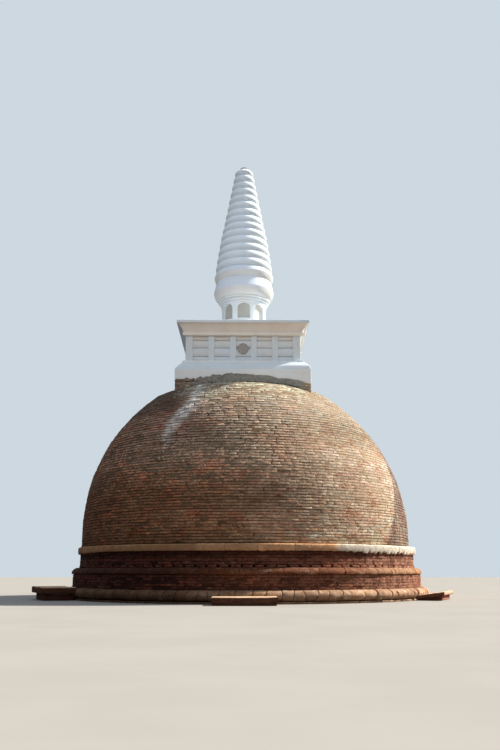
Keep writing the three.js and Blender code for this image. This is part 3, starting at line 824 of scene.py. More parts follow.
def mortar_material(name, dark, pale, weather, seed=0.0, marks=False):
    N = Nodes(name, 0.96, 0.15)
    w = weather(N)
    v = N.span(N.noise(16.0, 7, 0.72), 0.27, 0.73, 0.55, 1.22)
    # the mortar is darker on the damp side, partly painted shade
    col = N.mix(1.0, N.mix(w, dark, pale), v, "MULTIPLY")
    patch = N.span(N.noise(1.5, 5, 0.65, N.scaled((1, 1, 1.8), (2, seed, 5))), 0.42, 0.62)
    col = N.mix(N.math("MULTIPLY", patch, 0.5), col, N.mix(1.0, col, (0.62, 0.56, 0.50, 1), "MULTIPLY"))
    if weather is dome_shade_and_weather:
        x, y, z = N.xyz()
        # darker, redder lower left: painted shade and damp, as on the bricks
        damp_and_shade = N.math("MULTIPLY", N.span(w, 0.78, 0.42), N.span(z, 3.05, 2.15))
        col = N.mix(damp_and_shade, col, N.mix(1.0, col, (0.72, 0.58, 0.48, 1), "MULTIPLY"))
        col = N.mix(N.span(w, 0.55, 0.85), col, N.mix(1.0, col, (0.97, 0.94, 0.89, 1), "MULTIPLY"))
        col = N.mix(east_strip(N), col, N.mix(1.0, col, (0.42, 0.37, 0.40, 1), "MULTIPLY"))
        # painted shadow of the chamber, as on the bricks
        painted_chamber_shadow = N.math("MULTIPLY", N.span(z, 3.95, 4.35), N.span(x, -1.20, -1.70))
        col = N.mix(painted_chamber_shadow, col, N.mix(1.0, col, (0.58, 0.54, 0.54, 1), "MULTIPLY"))
        high = N.span(z, 4.0, 4.5)
        col = N.mix(high, col, N.mix(1.0, col, (0.98, 0.95, 0.92, 1), "MULTIPLY"))
    if marks:
        col = N.mix(N.math("MULTIPLY", lime_run(N), 0.7), col, srgb(176, 176, 172))
    N.color(col)
    N.normal(N.bump(N.noise(60.0, 6, 0.75), 0.8, 0.008))
    return N.mat


def stone_material(name, base, pale, dark, scale=1.0, bump=0.9, stain=0.5, weather=None, shade=0.35, foot=False,
                   warm=(1.0, 0.90, 0.80), crust=0.0, sun_and_bleach=None, sun_and_bleach_colours=None, own=(0.82, 1.16), top=None, edge=None, east=None):
    """weather: darkens the damp side down to the part given by shade, painted shade as well as damp; foot: darkens
    towards the foot attribute 0, a painted shadow line with dirt.
    """
    N = Nodes(name, 0.9, 0.25)
    r1, r2 = N.attr("tint"), N.attr("tone")
    big = N.span(N.noise(2.4 * scale, 6, 0.65), 0.3, 0.7)
    col = N.mix(big, base, pale)
    col = N.mix(1.0, col, N.span(r1, 0, 1, own[0], own[1], "LINEAR"), "MULTIPLY")
    col = N.mix(N.span(r2, 0.0, 1.0, 0.0, 0.35, "LINEAR"), col, N.mix(1.0, col, (1.10, 0.92, 0.80, 1), "MULTIPLY"))
    cloud = N.span(N.noise(7.0 * scale, 6, 0.7, N.scaled((1, 1, 1.5), (1, 6, 2))), 0.30, 0.70, 0.78, 1.14)
    col = N.mix(1.0, col, cloud, "MULTIPLY")
    spots = N.span(N.noise(11.0 * scale, 7, 0.72), 0.52, 0.72)
    col = N.mix(N.math("MULTIPLY", spots, stain), col, dark)
    if crust:
        flakes = N.span(N.noise(6.0, 7, 0.75, N.scaled((1, 1, 1.3), (5, 2, 8))), 0.52, 0.64)
        col = N.mix(N.math("MULTIPLY", flakes, crust), col, srgb(226, 208, 184))
        rosy = N.span(N.noise(3.1, 5, 0.65, N.scaled((1, 1, 1.3), (8, 4, 1))), 0.50, 0.64)
        col = N.mix(N.math("MULTIPLY", rosy, 0.6), col, N.mix(1.0, col, (0.98, 0.80, 0.74, 1), "MULTIPLY"))
    pores = N.span(N.voronoi(60.0 * scale), 0.05, 0.22, 0.72, 1.0)
    col = N.mix(1.0, col, pores, "MULTIPLY")
    if sun_and_bleach is not None:
        # whiter where the mask is high: bleaching and painted sunlight
        fair, foul = sun_and_bleach_colours or (srgb(220, 210, 194), srgb(164, 144, 122))
        white = N.mix(N.math("MULTIPLY", spots, 0.5), fair, foul)
        white = N.mix(1.0, white, cloud, "MULTIPLY")
        col = N.mix(N.span(sun_and_bleach(N), 0.25, 0.75), col, white)
    if weather is not None:
        w = weather(N)
        # painted shade and damp, warm-tinted, on the low side of the mask
        damp = N.mix(w, (shade * warm[0], shade * warm[1], shade * warm[2], 1), (1.0, 1.0, 1.0, 1))
        col = N.mix(1.0, col, damp, "MULTIPLY")
    if edge is not None:
        x, y, z = N.xyz()
        # lighter top edge: painted highlight where the edge catches the light, and wear
        worn = N.math("MULTIPLY", N.span(z, edge, edge + 0.012), N.span(N.noise(9.0, 4, 0.6), 0.35, 0.55))
        col = N.mix(N.math("MULTIPLY", worn, 0.7), col, N.mix(1.0, col, (1.7, 1.65, 1.55, 1), "MULTIPLY"))
    if east is not None:
        x, y, z = N.xyz()
        # paler end to the right, lighter above: painted sunlight on the sunlit end face
        col = N.mix(N.span(x, east[0], east[1]), col, N.mix(N.span(z, 0.11, 0.16), east[2], east[3]))
    if top is not None:
        nx, ny, nz = N.xyz(N.coord.outputs["Normal"])
        # paler faces that look up: dust and painted sky light
        dust_and_top_light = N.mix(N.span(N.noise(6.0, 5, 0.65), 0.4, 0.65), top, N.mix(1.0, top, (0.80, 0.74, 0.68, 1), "MULTIPLY"))
        col = N.mix(N.span(nz, 0.35, 0.75), col, dust_and_top_light)
    if foot:
        # darker towards the foot: painted shadow line and dirt where the cement meets the dome
        f = N.span(N.attr("foot"), 0.012, 0.055)
        col = N.mix(f, N.mix(1.0, col, (0.42, 0.38, 0.33, 1), "MULTIPLY"), col)
    N.color(col)
    h = N.math("ADD", N.noise(30.0 * scale, 8, 0.75), N.math("MULTIPLY", N.noise(8.0 * scale, 4, 0.6), 1.5))
    N.normal(N.bump(h, bump, 0.010))
    return N.mat


def plaster_material(name, base, warm, grey, streak=0.5, bump=0.35, cloudy=0.35, under=None, sides=None, east=None,
                     line=None, up=None, right_facing_shade=None, lower_cool_light=None):
    """under: tint of faces that look down; sides: tints of faces to the left and to the right; east: tint to the right.
    These tints, and those for faces that look up, faces turned to the right and lower heights, are painted light and
    shade.
    """
    N = Nodes(name, 0.78, 0.3)
    big = N.noise(1.4, 5, 0.6)
    col = N.mix(N.span(big, 0.35, 0.7), base, warm)
    nx, ny, nz = N.xyz(N.coord.outputs["Normal"])
    if up is not None:
        # painted shade on faces that look up
        col = N.mix(N.span(nz, 0.15, 0.45), col, N.mix(1.0, col, up, "MULTIPLY"))
    if under is not None:
        # painted bounce light and shade on faces that look down, as the tint gives
        col = N.mix(N.span(nz, -0.02, -0.22), col, N.mix(1.0, col, under, "MULTIPLY"))
    if right_facing_shade is not None:
        # painted shade on faces turned to the right and downwards
        soft = N.math("MULTIPLY", N.span(nx, right_facing_shade[0], right_facing_shade[1]), N.span(nz, right_facing_shade[3], right_facing_shade[4]))
        col = N.mix(soft, col, N.mix(1.0, col, right_facing_shade[2], "MULTIPLY"))
    if sides is not None:
        x, y, z = N.xyz()
        x, y = N.math("SUBTRACT", x, CHAMBER_SHIFT), N.math("ABSOLUTE", y)
        # painted shade on the left faces, painted light on the right faces
        col = N.mix(N.span(N.math("ADD", x, y), 0.0, -0.02), col, N.mix(1.0, col, sides[0], "MULTIPLY"))
        col = N.mix(N.span(N.math("SUBTRACT", x, y), 0.0, 0.02), col, N.mix(1.0, col, sides[1], "MULTIPLY"))
    if line is not None:
        x, y, z = N.xyz()
        # painted shadow line in the angle above the band
        painted_shadow_line = N.math("MULTIPLY", N.span(z, line[1], line[0]), N.span(N.noise(6.0, 4, 0.6), 0.30, 0.50, 0.5, 1.0))
        col = N.mix(painted_shadow_line, col, N.mix(1.0, col, (0.80, 0.76, 0.72, 1), "MULTIPLY"))
    if lower_cool_light is not None:
        x, y, z = N.xyz()
        # painted light: bluer towards the bottom
        col = N.mix(N.span(z, lower_cool_light[1], lower_cool_light[0]), col, N.mix(1.0, col, lower_cool_light[2], "MULTIPLY"))
    if east is not None:
        x, y, z = N.xyz()
        # painted light tint on the right side, where the sun falls
        col = N.mix(N.span(x, east[0], east[1]), col, N.mix(1.0, col, east[2], "MULTIPLY"))
    cloud = N.span(N.noise(5.0, 6, 0.65), 0.50, 0.78)
    col = N.mix(N.math("MULTIPLY", cloud, cloudy), col, grey)
    run = N.span(N.noise(9.0, 5, 0.65, N.scaled((1.0, 1.0, 0.10))), 0.54, 0.74)
    col = N.mix(N.math("MULTIPLY", run, streak * 0.5), col, grey)
    speck = N.span(N.noise(55.0, 4, 0.7), 0.62, 0.78)
    col = N.mix(N.math("MULTIPLY", speck, 0.35), col, N.mix(1.0, col, (0.80, 0.78, 0.75, 1), "MULTIPLY"))
    N.color(col)
    h = N.math("ADD", N.math("MULTIPLY", N.noise(34.0, 5, 0.65), 0.5), N.noise(5.0, 3, 0.5))
    N.normal(N.bump(h, bump, 0.006))
    N.rough(N.span(N.noise(12.0, 4), 0.3, 0.7, 0.70, 0.88))
    return N.mat


DOME_DARK = [
    (0.00, srgb(112, 70, 54)), (0.16, srgb(132, 92, 72)), (0.32, srgb(126, 102, 82)),
    (0.48, srgb(144, 106, 84)), (0.62, srgb(120, 100, 82)), (0.76, srgb(140, 90, 70)),
    (0.88, srgb(112, 102, 84)), (1.00, srgb(94, 70, 60)),
]
DOME_PALE = [
    (0.00, srgb(166, 138, 118)), (0.16, srgb(184, 165, 145)), (0.32, srgb(176, 162, 143)),
    (0.48, srgb(188, 171, 152)), (0.62, srgb(174, 150, 132)), (0.76, srgb(182, 170, 149)),
    (0.88, srgb(168, 159, 144)), (1.00, srgb(160, 137, 120)),
]
BASE_DARK = [
    (0.00, srgb(58, 29, 22)), (0.25, srgb(74, 37, 28)), (0.50, srgb(84, 43, 33)),
    (0.75, srgb(62, 33, 26)), (1.00, srgb(52, 32, 26)),
]
BASE_PALE = [
    (0.00, srgb(104, 60, 46)), (0.25, srgb(134, 88, 68)), (0.50, srgb(150, 104, 80)),
    (0.75, srgb(110, 66, 50)), (1.00, srgb(158, 118, 92)),
]


# masks from the damp side, darkened as painted shade, to the bleached side
def dome_shade_and_weather(N):
    return shaded_to_sunlit_weathering(N, 0.0, -3.4, 3.3, 0.0, 0.55)


def base_shade_and_weather(N):
    return shaded_to_sunlit_weathering(N, 2.0, -1.8, 4.2, 0.0, 0.45)


MAT_DOME = brick_material("dome_brick_finish", DOME_DARK, DOME_PALE, dome_shade_and_weather, marks=True, crust=0.50, growth=0.35,
                          gain=1.18, own=0.30, drift=1.5, value=(0.88, 1.12))
# the base bricks carry a painted shadow under the cornice
MAT_BASE = brick_material("base_brick_finish", BASE_DARK, BASE_PALE, base_shade_and_weather, seed=2.0, crust=0.20, growth=0.5,
                          dots=0.2, own=0.30, drift=1.7, gain=0.98, value=(0.90, 1.10), dashes=0.7, washed=0.62,
                          eave_shadow_bands=((0.84, 0.97),))
MAT_HEADER = brick_material("header_brick_finish", BASE_DARK, BASE_PALE, base_shade_and_weather, seed=2.0, crust=0.25, growth=0.4,
                            dots=0.3, own=0.25, drift=1.5, gain=1.28, value=(0.92, 1.08), dashes=0.5, washed=0.6)
MAT_BED = mortar_material("lime_mortar_finish", srgb(98, 76, 60), srgb(158, 132, 106), dome_shade_and_weather)
MAT_FILL = mortar_material("course_mortar_finish", srgb(122, 100, 82), srgb(196, 176, 152), dome_shade_and_weather, 1.0, True)
MAT_MORTAR_BASE = mortar_material("base_mortar_finish", srgb(52, 29, 23), srgb(122, 80, 62), base_shade_and_weather)


# darker on the left: painted shade and damp
def torus_shade_and_weather(N):
    return shaded_to_sunlit_weathering(N, 2.0, -1.9, 1.9, 0.0, 0.40)


MAT_MOULDED = stone_material(
    "moulded_block_finish", srgb(163, 125, 98), srgb(184, 153, 124), srgb(103, 70, 54), 1.0, 1.0, 0.7,
    torus_shade_and_weather, 0.26, warm=(1.0, 0.84, 0.72), crust=0.5
)


# whiter towards the right: bleaching and painted sunlight
def string_sun_and_bleach(N):
    return shaded_to_sunlit_weathering(N, 8.0, 1.6, 3.8, 0.0, 0.5)


MAT_STRING = stone_material(
    "string_block_finish", srgb(127, 69, 41), srgb(150, 95, 60), srgb(78, 42, 27), 1.0, 1.0, 0.6,
    base_shade_and_weather, 0.19, warm=(1.0, 0.80, 0.66), crust=0.30, sun_and_bleach=string_sun_and_bleach,
    sun_and_bleach_colours=(srgb(170, 128, 96), srgb(122, 79, 57)), own=(0.92, 1.08)
)


# whiter towards the right: bleaching and painted sunlight
def cornice_sun_and_bleach(N):
    return shaded_to_sunlit_weathering(N, 3.0, 1.66, 2.20, 0.0, 0.30)


MAT_LIME = stone_material(
    "limestone_finish", srgb(208, 160, 120), srgb(222, 182, 144), srgb(140, 100, 72), 0.9, 0.9, 0.45,
    base_shade_and_weather, 0.49, warm=(1.0, 0.92, 0.82), sun_and_bleach=cornice_sun_and_bleach, edge=1.148
)
# the right side is painted cooler and darker against the warm sun: painted light
MAT_PLASTER = plaster_material(
    "white_plaster_finish", srgb(232, 239, 245), srgb(230, 233, 233), srgb(204, 208, 211),
    east=(1.355, 1.39, (0.82, 0.93, 1.0, 1))
)
# the cone's undersides and right-facing faces carry painted shade
MAT_CONE = plaster_material(
    "cone_plaster_finish", srgb(236, 245, 253), srgb(232, 240, 246), srgb(200, 209, 218), 0.4, 0.35, 0.25,
    right_facing_shade=(0.05, 0.60, (0.79, 0.79, 0.76, 1), 0.35, -0.15), under=(0.92, 0.94, 0.96, 1)
)
# the rings' warm undersides are painted bounce light; right-facing faces carry painted shade
MAT_RING = plaster_material(
    "ring_plaster_finish", srgb(228, 238, 250), srgb(226, 235, 243), srgb(200, 209, 218), 0.4, 0.35, 0.25,
    under=(1.03, 0.945, 0.86, 1), right_facing_shade=(0.25, 0.70, (0.84, 0.84, 0.82, 1), 0.25, -0.15)
)
# the reliefs are painted bluer lower down: painted light
MAT_PANEL = plaster_material(
    "relief_plaster_finish", srgb(236, 238, 238), srgb(238, 233, 226), srgb(208, 209, 208), 0.4, 0.4,
    lower_cool_light=(5.92, 6.20, (0.93, 0.985, 1.045, 1))
)
# warm cream base: partly stain, partly painted bounce light from the ground; left faces painted blue-grey shade, right
# faces painted light; a painted shadow line at the flare's foot
MAT_SOFFIT = plaster_material(
    "flare_plaster_finish", srgb(250, 240, 230), srgb(245, 231, 217), srgb(216, 209, 202), 0.6, 0.4,
    sides=((0.60, 0.80, 1.06, 1), (0.96, 1.10, 1.25, 1)), line=(6.386, 6.404)
)
# left faces painted blue-grey shade, right faces painted light
MAT_BAND = plaster_material(
    "band_plaster_finish", srgb(252, 244, 234), srgb(248, 236, 222), srgb(222, 214, 206), 0.4, 0.4,
    sides=((0.60, 0.80, 1.06, 1), (0.96, 1.10, 1.25, 1))
)
# the niches to the right are painted brighter: painted sunlight
MAT_NICHE = plaster_material(
    "niche_plaster_finish", srgb(186, 185, 178), srgb(178, 175, 167), srgb(152, 151, 146),
    east=(-0.15, 0.40, (1.42, 1.42, 1.44, 1))
)


def cement_shade_and_weather(N):
    return shaded_to_sunlit_weathering(N, 5.0, -1.7, 0.2, 0.0, 0.6)


# darker on the left as painted shade, and at its foot as a painted shadow line with dirt
MAT_CEMENT = stone_material(
    "cement_finish", srgb(154, 151, 143), srgb(172, 168, 160), srgb(84, 78, 69), 1.6, 1.0, 0.90, cement_shade_and_weather, 0.84,
    foot=True, warm=(1.0, 0.98, 0.95)
)
MAT_DISC = stone_material(
    "grey_render_finish", srgb(172, 168, 162), srgb(182, 178, 171), srgb(141, 137, 131), 3.0, 0.6, 0.35
)
# paler tops: dust and painted sky light; the right altar's end face is painted paler as sunlight
MAT_ALTAR = stone_material(
    "altar_stone_finish", srgb(112, 66, 52), srgb(138, 92, 72), srgb(66, 42, 34), 1.4, 1.0, 0.5,
    base_shade_and_weather, 0.45, top=srgb(214, 184, 152), east=(4.350, 4.375, srgb(176, 116, 96), srgb(214, 186, 158))
)




# darker on the left: painted shade and damp
def foot_shade_and_weather(N):
    return shaded_to_sunlit_weathering(N, 6.0, -1.9, 1.6, 0.0, 0.35)


MAT_FOOT = brick_material(
    "foot_brick_finish",
    [(0.0, srgb(104, 78, 74)), (0.2, srgb(99, 73, 69)), (0.3, srgb(146, 124, 110)), (0.8, srgb(136, 118, 104)),
     (0.9, srgb(96, 82, 82)), (1.0, srgb(90, 76, 78))],
    [(0.0, srgb(174, 152, 124)), (0.5, srgb(182, 166, 142)), (1.0, srgb(162, 144, 121))],
    foot_shade_and_weather, seed=4.0, crust=0.3, growth=0.2, own=1.0, drift=0.1, streaks=0.0, gain=1.1,
)
# the splay that looks up is painted darker and bluer: painted shade
MAT_PLINTH = plaster_material(
    "plinth_plaster_finish", srgb(250, 252, 254), srgb(248, 247, 245), srgb(214, 215, 215), 0.35, 0.4, 0.25,
    up=(0.80, 0.87, 0.91, 1)
)


def dark_socket_material():
    N = Nodes("dark_socket_finish", 0.6, 0.5)
    dark_mottle = N.span(N.noise(40.0, 5, 0.7), 0.4, 0.65)
    # near-black: painted shade standing in for the shadowed top of the socket
    N.color(N.mix(dark_mottle, srgb(26, 32, 38), srgb(44, 38, 34)))
    N.b.inputs["Metallic"].default_value = 0.0
    N.normal(N.bump(N.noise(120.0, 4), 0.5, 0.002))
    return N.mat


MAT_DARK_SOCKET = dark_socket_material()

# -------------------------------------------------------------------------- base


def turned_piece(name, profile, segments, material, replaces=(), wobble=None, angle=35, caps=(True, True)):
    v, f = around(profile, segments, wobble, caps[1], caps[0])
    ob = make_mesh(name, v, f, smooth_angle=angle)
    return finish_piece(ob, material, replaces)


def block_ring(name, profile, count_length, gap, seed, material, replaces=(), round_end=0.014,
               radial=0.006, lift=0.003, step=0.07, drop=None, jitter=0.0022, rand_len=0.25, slant=0.0,
               face=0.0, angle=50, edge=0.06, flank=0.0):
    """Ring of blocks with one cross-section (closed list of [radius, height], up the outer side).

    step: distance between sections; drop(a): how far the underside hangs down at azimuth a;
    slant: how far the joints lean; face: unevenness of the face; flank: wider joints and shorter blocks on the right."""
    g = np.random.default_rng(seed)
    profile = np.asarray(profile, float)
    P = len(profile)
    centre = profile.mean(0)
    big = profile[:, 0].max()
    d = profile - centre
    ln = np.hypot(d[:, 0], d[:, 1])
    low = d[:, 1] < -0.2 * np.abs(d[:, 1]).max()
    up = d[:, 1] / np.abs(d[:, 1]).max()
    outer = profile[:, 0] > centre[0]
    total = TAU * big
    lengths = []
    while sum(lengths) < total - count_length * 0.5:
        short = flank * smooth(math.sin(sum(lengths) / big), 0.60, 0.80)
        lengths.append(count_length * g.uniform(1 - rand_len, 1 + rand_len) * (1 - 0.45 * short))
    lengths = np.array(lengths) * total / sum(lengths)
    ends = np.concatenate([[0], np.cumsum(lengths)]) / big + (0.02 if flank else g.uniform(0, TAU))
    leans = g.normal(0, 1, len(lengths)) * slant + slant * 0.5
    verts, faces, t1, t2 = [], [], [], []
    for k, (a0, a1) in enumerate(zip(ends[:-1], ends[1:])):
        wide = 1 + 1.3 * flank * float(smooth(math.sin(a0), 0.70, 0.92))
        g0 = gap / 2 / big * wide
        n_in = max(1, int((a1 - a0) * big / step))
        s = np.concatenate([[0.0, edge * 0.5], np.linspace(edge, 1 - edge, n_in + 1), [1 - edge * 0.5, 1.0]])
        aa = a0 + g0 + (a1 - a0 - 2 * g0) * s
        shrink = np.zeros(len(s))
        shrink[0] = shrink[-1] = round_end * wide
        shrink[1] = shrink[-2] = round_end * 0.2
        off_r, off_z = g.normal(0, radial), g.normal(0, lift)
        size = 1 + g.normal(0, 0.015)
        lean = g.normal(0, 0.008)
        l0, l1 = leans[k], leans[(k + 1) % len(leans)]
        base = len(verts)
        for i, a in enumerate(aa):
            q = centre + d * ((np.maximum(ln - shrink[i], ln * 0.3)) / ln)[:, None] * size
            q = q + g.normal(0, jitter, q.shape)
            if face:
                q[outer, 0] += face * g.normal(0, 1, int(outer.sum()))
            if drop is not None:
                q[low, 1] -= drop(a, g, int(low.sum()))
            rr = q[:, 0] + off_r + lean * (s[i] - 0.5)
            zz = q[:, 1] + off_z
            ang = a + (l0 * (1 - s[i]) + l1 * s[i]) * up / big
            verts += list(zip(rr * np.sin(ang), -rr * np.cos(ang), zz))
        n = len(aa)
        for i in range(n - 1):
            for j in range(P):
                jn = (j + 1) % P
                faces.append((base + i * P + j, base + (i + 1) * P + j, base + (i + 1) * P + jn, base + i * P + jn))
        faces.append(tuple(base + j for j in range(P)))
        faces.append(tuple(base + (n - 1) * P + j for j in reversed(range(P))))
        cnt = (n - 1) * P + 2
        t1 += [g.random()] * cnt
        t2 += [g.random()] * cnt
    ob = make_mesh(name, verts, faces, smooth_angle=angle, attributes={"tint": ("FACE", t1), "tone": ("FACE", t2)})
    return finish_piece(ob, material, replaces)


def uneven(amount, low=3, high=22, seed=0.0):
    def f(A, R, Z):
        return R + amount * swell(A + seed, Z, 2.0, low, high), Z
    return f


def bricks_object(name, bricks, material, replaces=()):
    V, F, t1, t2, rim = bricks
    ob = make_mesh(name, V, F, smooth_angle=32,
                   attributes={"tint": ("FACE", t1), "tone": ("FACE", t2), "rim": ("POINT", rim)})
    return finish_piece(ob, material, replaces)


def brick_ring(name, levels, radius, seed, material, slot, fill_material, **kw):
    bricks, bars = lay_courses(levels, lambda z: radius, seed, **kw)
    bricks_object(name, bricks, material)
    if bars is not None:
        ob = make_mesh(name.replace("bricks", "pointing"), bars[0], bars[1], smooth_angle=30)
        finish_piece(ob, fill_material)


# kerb under the base: flat stones end to end
block_ring(
    "kerb_stones", [(4.10, 0.002), (4.352, 0.002), (4.358, 0.020), (4.350, 0.037), (4.10, 0.039)],
    0.34, 0.008, 11, MAT_MOULDED, ["footing_course"], round_end=0.006, radial=0.008, lift=0.0008,
)

# half-round moulding of separate blocks
tor = []
for i in range(11):
    t = -math.pi / 2 + i * math.pi / 10
    tor.append((4.238 + 0.170 * math.cos(t) ** 0.85, 0.1515 + 0.109 * math.sin(t)))
tor = [(4.12, 0.045)] + tor + [(4.12, 0.258)]
block_ring("torus_blocks", tor, 0.285, 0.008, 12, MAT_MOULDED, radial=0.006, lift=0.0015,
           round_end=0.013, slant=0.026, jitter=0.0026, face=0.0032, rand_len=0.26, edge=0.05, flank=0.8)
turned_piece(
    "torus_bed", [(4.20, 0.038), (4.352, 0.085), (4.382, 0.150), (4.350, 0.220), (4.20, 0.262)], 192,
    MAT_MORTAR_BASE, ["base_torus"], uneven(0.004), 50,
)

# lower drum
turned_piece(
    "lower_drum_bed", [(4.196, 0.250), (4.196, 0.568)], 192, MAT_MORTAR_BASE, ["lower_drum"],
    uneven(0.006, seed=1.0), 50,
)
brick_ring("lower_drum_bricks", np.linspace(0.264, 0.556, 6), 4.222, 21, MAT_BASE, "base_brick", MAT_MORTAR_BASE,
           wave=0.003, rough=0.0030, gap=0.0045, head=0.004, voids=0.015, worn=0.70, fill=0.0010)

# quarter-round string course
strp = [(4.06, 0.560), (4.238, 0.560), (4.256, 0.570), (4.259, 0.595), (4.247, 0.630), (4.216, 0.664),
        (4.176, 0.688), (4.135, 0.698), (4.06, 0.699)]
block_ring("string_blocks", strp, 0.27, 0.0045, 13, MAT_STRING, radial=0.004, lift=0.0012,
           round_end=0.004, slant=0.010, jitter=0.0016, face=0.0012, edge=0.04, flank=1.0)
turned_piece(
    "string_bed", [(4.20, 0.556), (4.232, 0.575), (4.218, 0.632), (4.16, 0.680), (4.05, 0.694)], 192,
    MAT_MORTAR_BASE, ["string_course"], uneven(0.003, seed=2.0), 50,
)

# upper drum: a row of spaced headers, then plain courses
turned_piece(
    "upper_drum_bed", [(4.005, 0.690), (4.005, 0.748), (4.040, 0.760), (4.040, 1.035)], 192, MAT_MORTAR_BASE, ["upper_drum"],
    uneven(0.006, seed=3.0), 50,
)
brick_ring("upper_drum_bricks", np.linspace(0.752, 1.022, 5), 4.070, 22, MAT_BASE, "base_brick", MAT_MORTAR_BASE,
           wave=0.003, rough=0.0030, gap=0.0045, head=0.004, voids=0.015, worn=0.70, fill=0.0010)


def header_row():
    g = np.random.default_rng(31)
    n = 108
    a = np.arange(n) / n * TAU + g.normal(0, 0.0016, n)
    radial = np.stack([np.sin(a), -np.cos(a), np.zeros(n)], 1)
    tangent = np.stack([np.cos(a), np.sin(a), np.zeros(n)], 1)
    up = np.repeat([[0, 0, 1.0]], n, 0)
    c = radial * (4.092 + g.normal(0, 0.003, n))[:, None] + up * 0.7235
    V, F, rim = brick_bodies(c, tangent, up, radial, g.uniform(0.090, 0.101, n), g.uniform(0.0235, 0.0255, n),
                             np.full(n, 0.09), 32, 1.3, 0.3)
    bricks_object("header_row_bricks", (V, F, np.repeat(g.random(n), QUADS), np.repeat(g.random(n), QUADS), rim),
                  MAT_HEADER)


header_row()

# cornice of limestone slabs, ragged beneath where their mortar has come away


def cornice_drop(a, g, n):
    deg = math.degrees(math.atan2(math.sin(a), math.cos(a)))
    amount = 0.006
    for at, wide, much in ((54, 27, 0.062), (-70, 20, 0.024), (120, 26, 0.046), (-160, 22, 0.040), (8, 9, 0.014)):
        gap = (deg - at + 180) % 360 - 180
        amount += much * min(1.0, max(0.0, 2.2 * (1 - abs(gap) / wide)))
    lump = max(0.0, 0.30 + math.sin(31 * a) * 0.30 + math.sin(97 * a + 1.1) * 0.5 + math.sin(163 * a + 2.0) * 0.45)
    fine = 0.5 + 0.5 * math.sin(237 * a + 0.7) * math.sin(41 * a)
    lump = min(1.0, max(0.0, (lump - 0.18) * 2.6))
    return amount * (0.72 * lump + 0.22 * fine) * np.linspace(1.0, 0.9, n)


corn = [(3.98, 1.036), (4.106, 1.034), (4.121, 1.040), (4.127, 1.054), (4.129, 1.100), (4.127, 1.146), (4.120, 1.160),
        (4.104, 1.169), (3.98, 1.177)]
block_ring("cornice_slabs", corn, 0.62, 0.0035, 14, MAT_LIME, ["cornice"], round_end=0.0035, radial=0.003,
           lift=0.0012, step=0.045, drop=cornice_drop, jitter=0.0012, rand_len=0.55, face=0.0016, slant=0.004,
           angle=34, edge=0.02)
turned_piece("cornice_bed", [(4.0, 1.012), (4.070, 1.030), (4.096, 1.09), (4.06, 1.150), (3.97, 1.168)], 192,
             MAT_BED, (), uneven(0.004, seed=5.0), 50)

# -------------------------------------------------------------------------- dome


def dome_bed():
    z = np.concatenate([np.linspace(1.165, 4.75, 120), np.linspace(4.775, 5.118, 16)])
    r = dome_radius(z)
    prof = np.column_stack([r, z])

    def wob(A, R, Z):
        worn = 0.009 * smooth(Z, 3.55, 3.95) * smooth(Z, 4.55, 4.25) * (1 - 0.5 * smooth(np.sin(A), 0.1, 0.5))
        fresh = smooth(np.sin(A), 0.0, 0.50) * smooth(Z, 1.75, 2.35) * (1 - 0.45 * smooth(Z, 3.5, 4.0))
        recess = (0.008 + worn + 0.009 * swell(A * 1.0 + 1.3, Z, 3.2, 4, 34)) * (1 - 0.85 * fresh) - 0.002 * fresh
        recess = recess * (1 + 0.45 * shoulder_of(Z) - 0.35 * full_of(Z))
        return R - np.clip(recess, -0.002, 0.032) + course_wave(A, Z, 0.010)[1], Z

    v, f = around(prof, 300, wob, True, True)
    v = lean_points(v)
    ob = make_mesh("dome_bed", v, f, smooth_angle=60)
    return finish_piece(ob, MAT_BED, ["dome"])


dome_bed()

# heights of the courses
levels = [1.181]
while levels[-1] < 5.04:
    z = levels[-1]
    levels.append(z + COURSE * (1 + 0.03 * smooth(z, 1.8, 2.6) - 0.05 * smooth(z, 4.3, 4.8))
                  * (1 + 0.08 * (hash01(z * 7.3, 1.0) - 0.5)))
levels = np.array(levels)


def under_chamber(C):
    return (np.abs(C[:, 0] + 0.04) < 1.60) & (np.abs(C[:, 1]) < 1.60) & (C[:, 2] > 4.6)


cuts = [0, int(len(levels) * 0.30), int(len(levels) * 0.62), len(levels) - 1]
for part, (a, b) in zip(("lower", "middle", "upper"), zip(cuts[:-1], cuts[1:])):
    bricks, bars = lay_courses(levels[a: b + 1], dome_radius, 51 + a, skip=under_chamber, shift=lean_points,
                               wave=0.010, worn=0.70, chips=0.24, voids=0.03)
    bricks_object(f"dome_bricks_{part}", bricks, MAT_DOME)
    ob = make_mesh(f"dome_pointing_{part}", bars[0], bars[1], smooth_angle=30)
    finish_piece(ob, MAT_FILL)

# ------------------------------------------------------------------------ altars


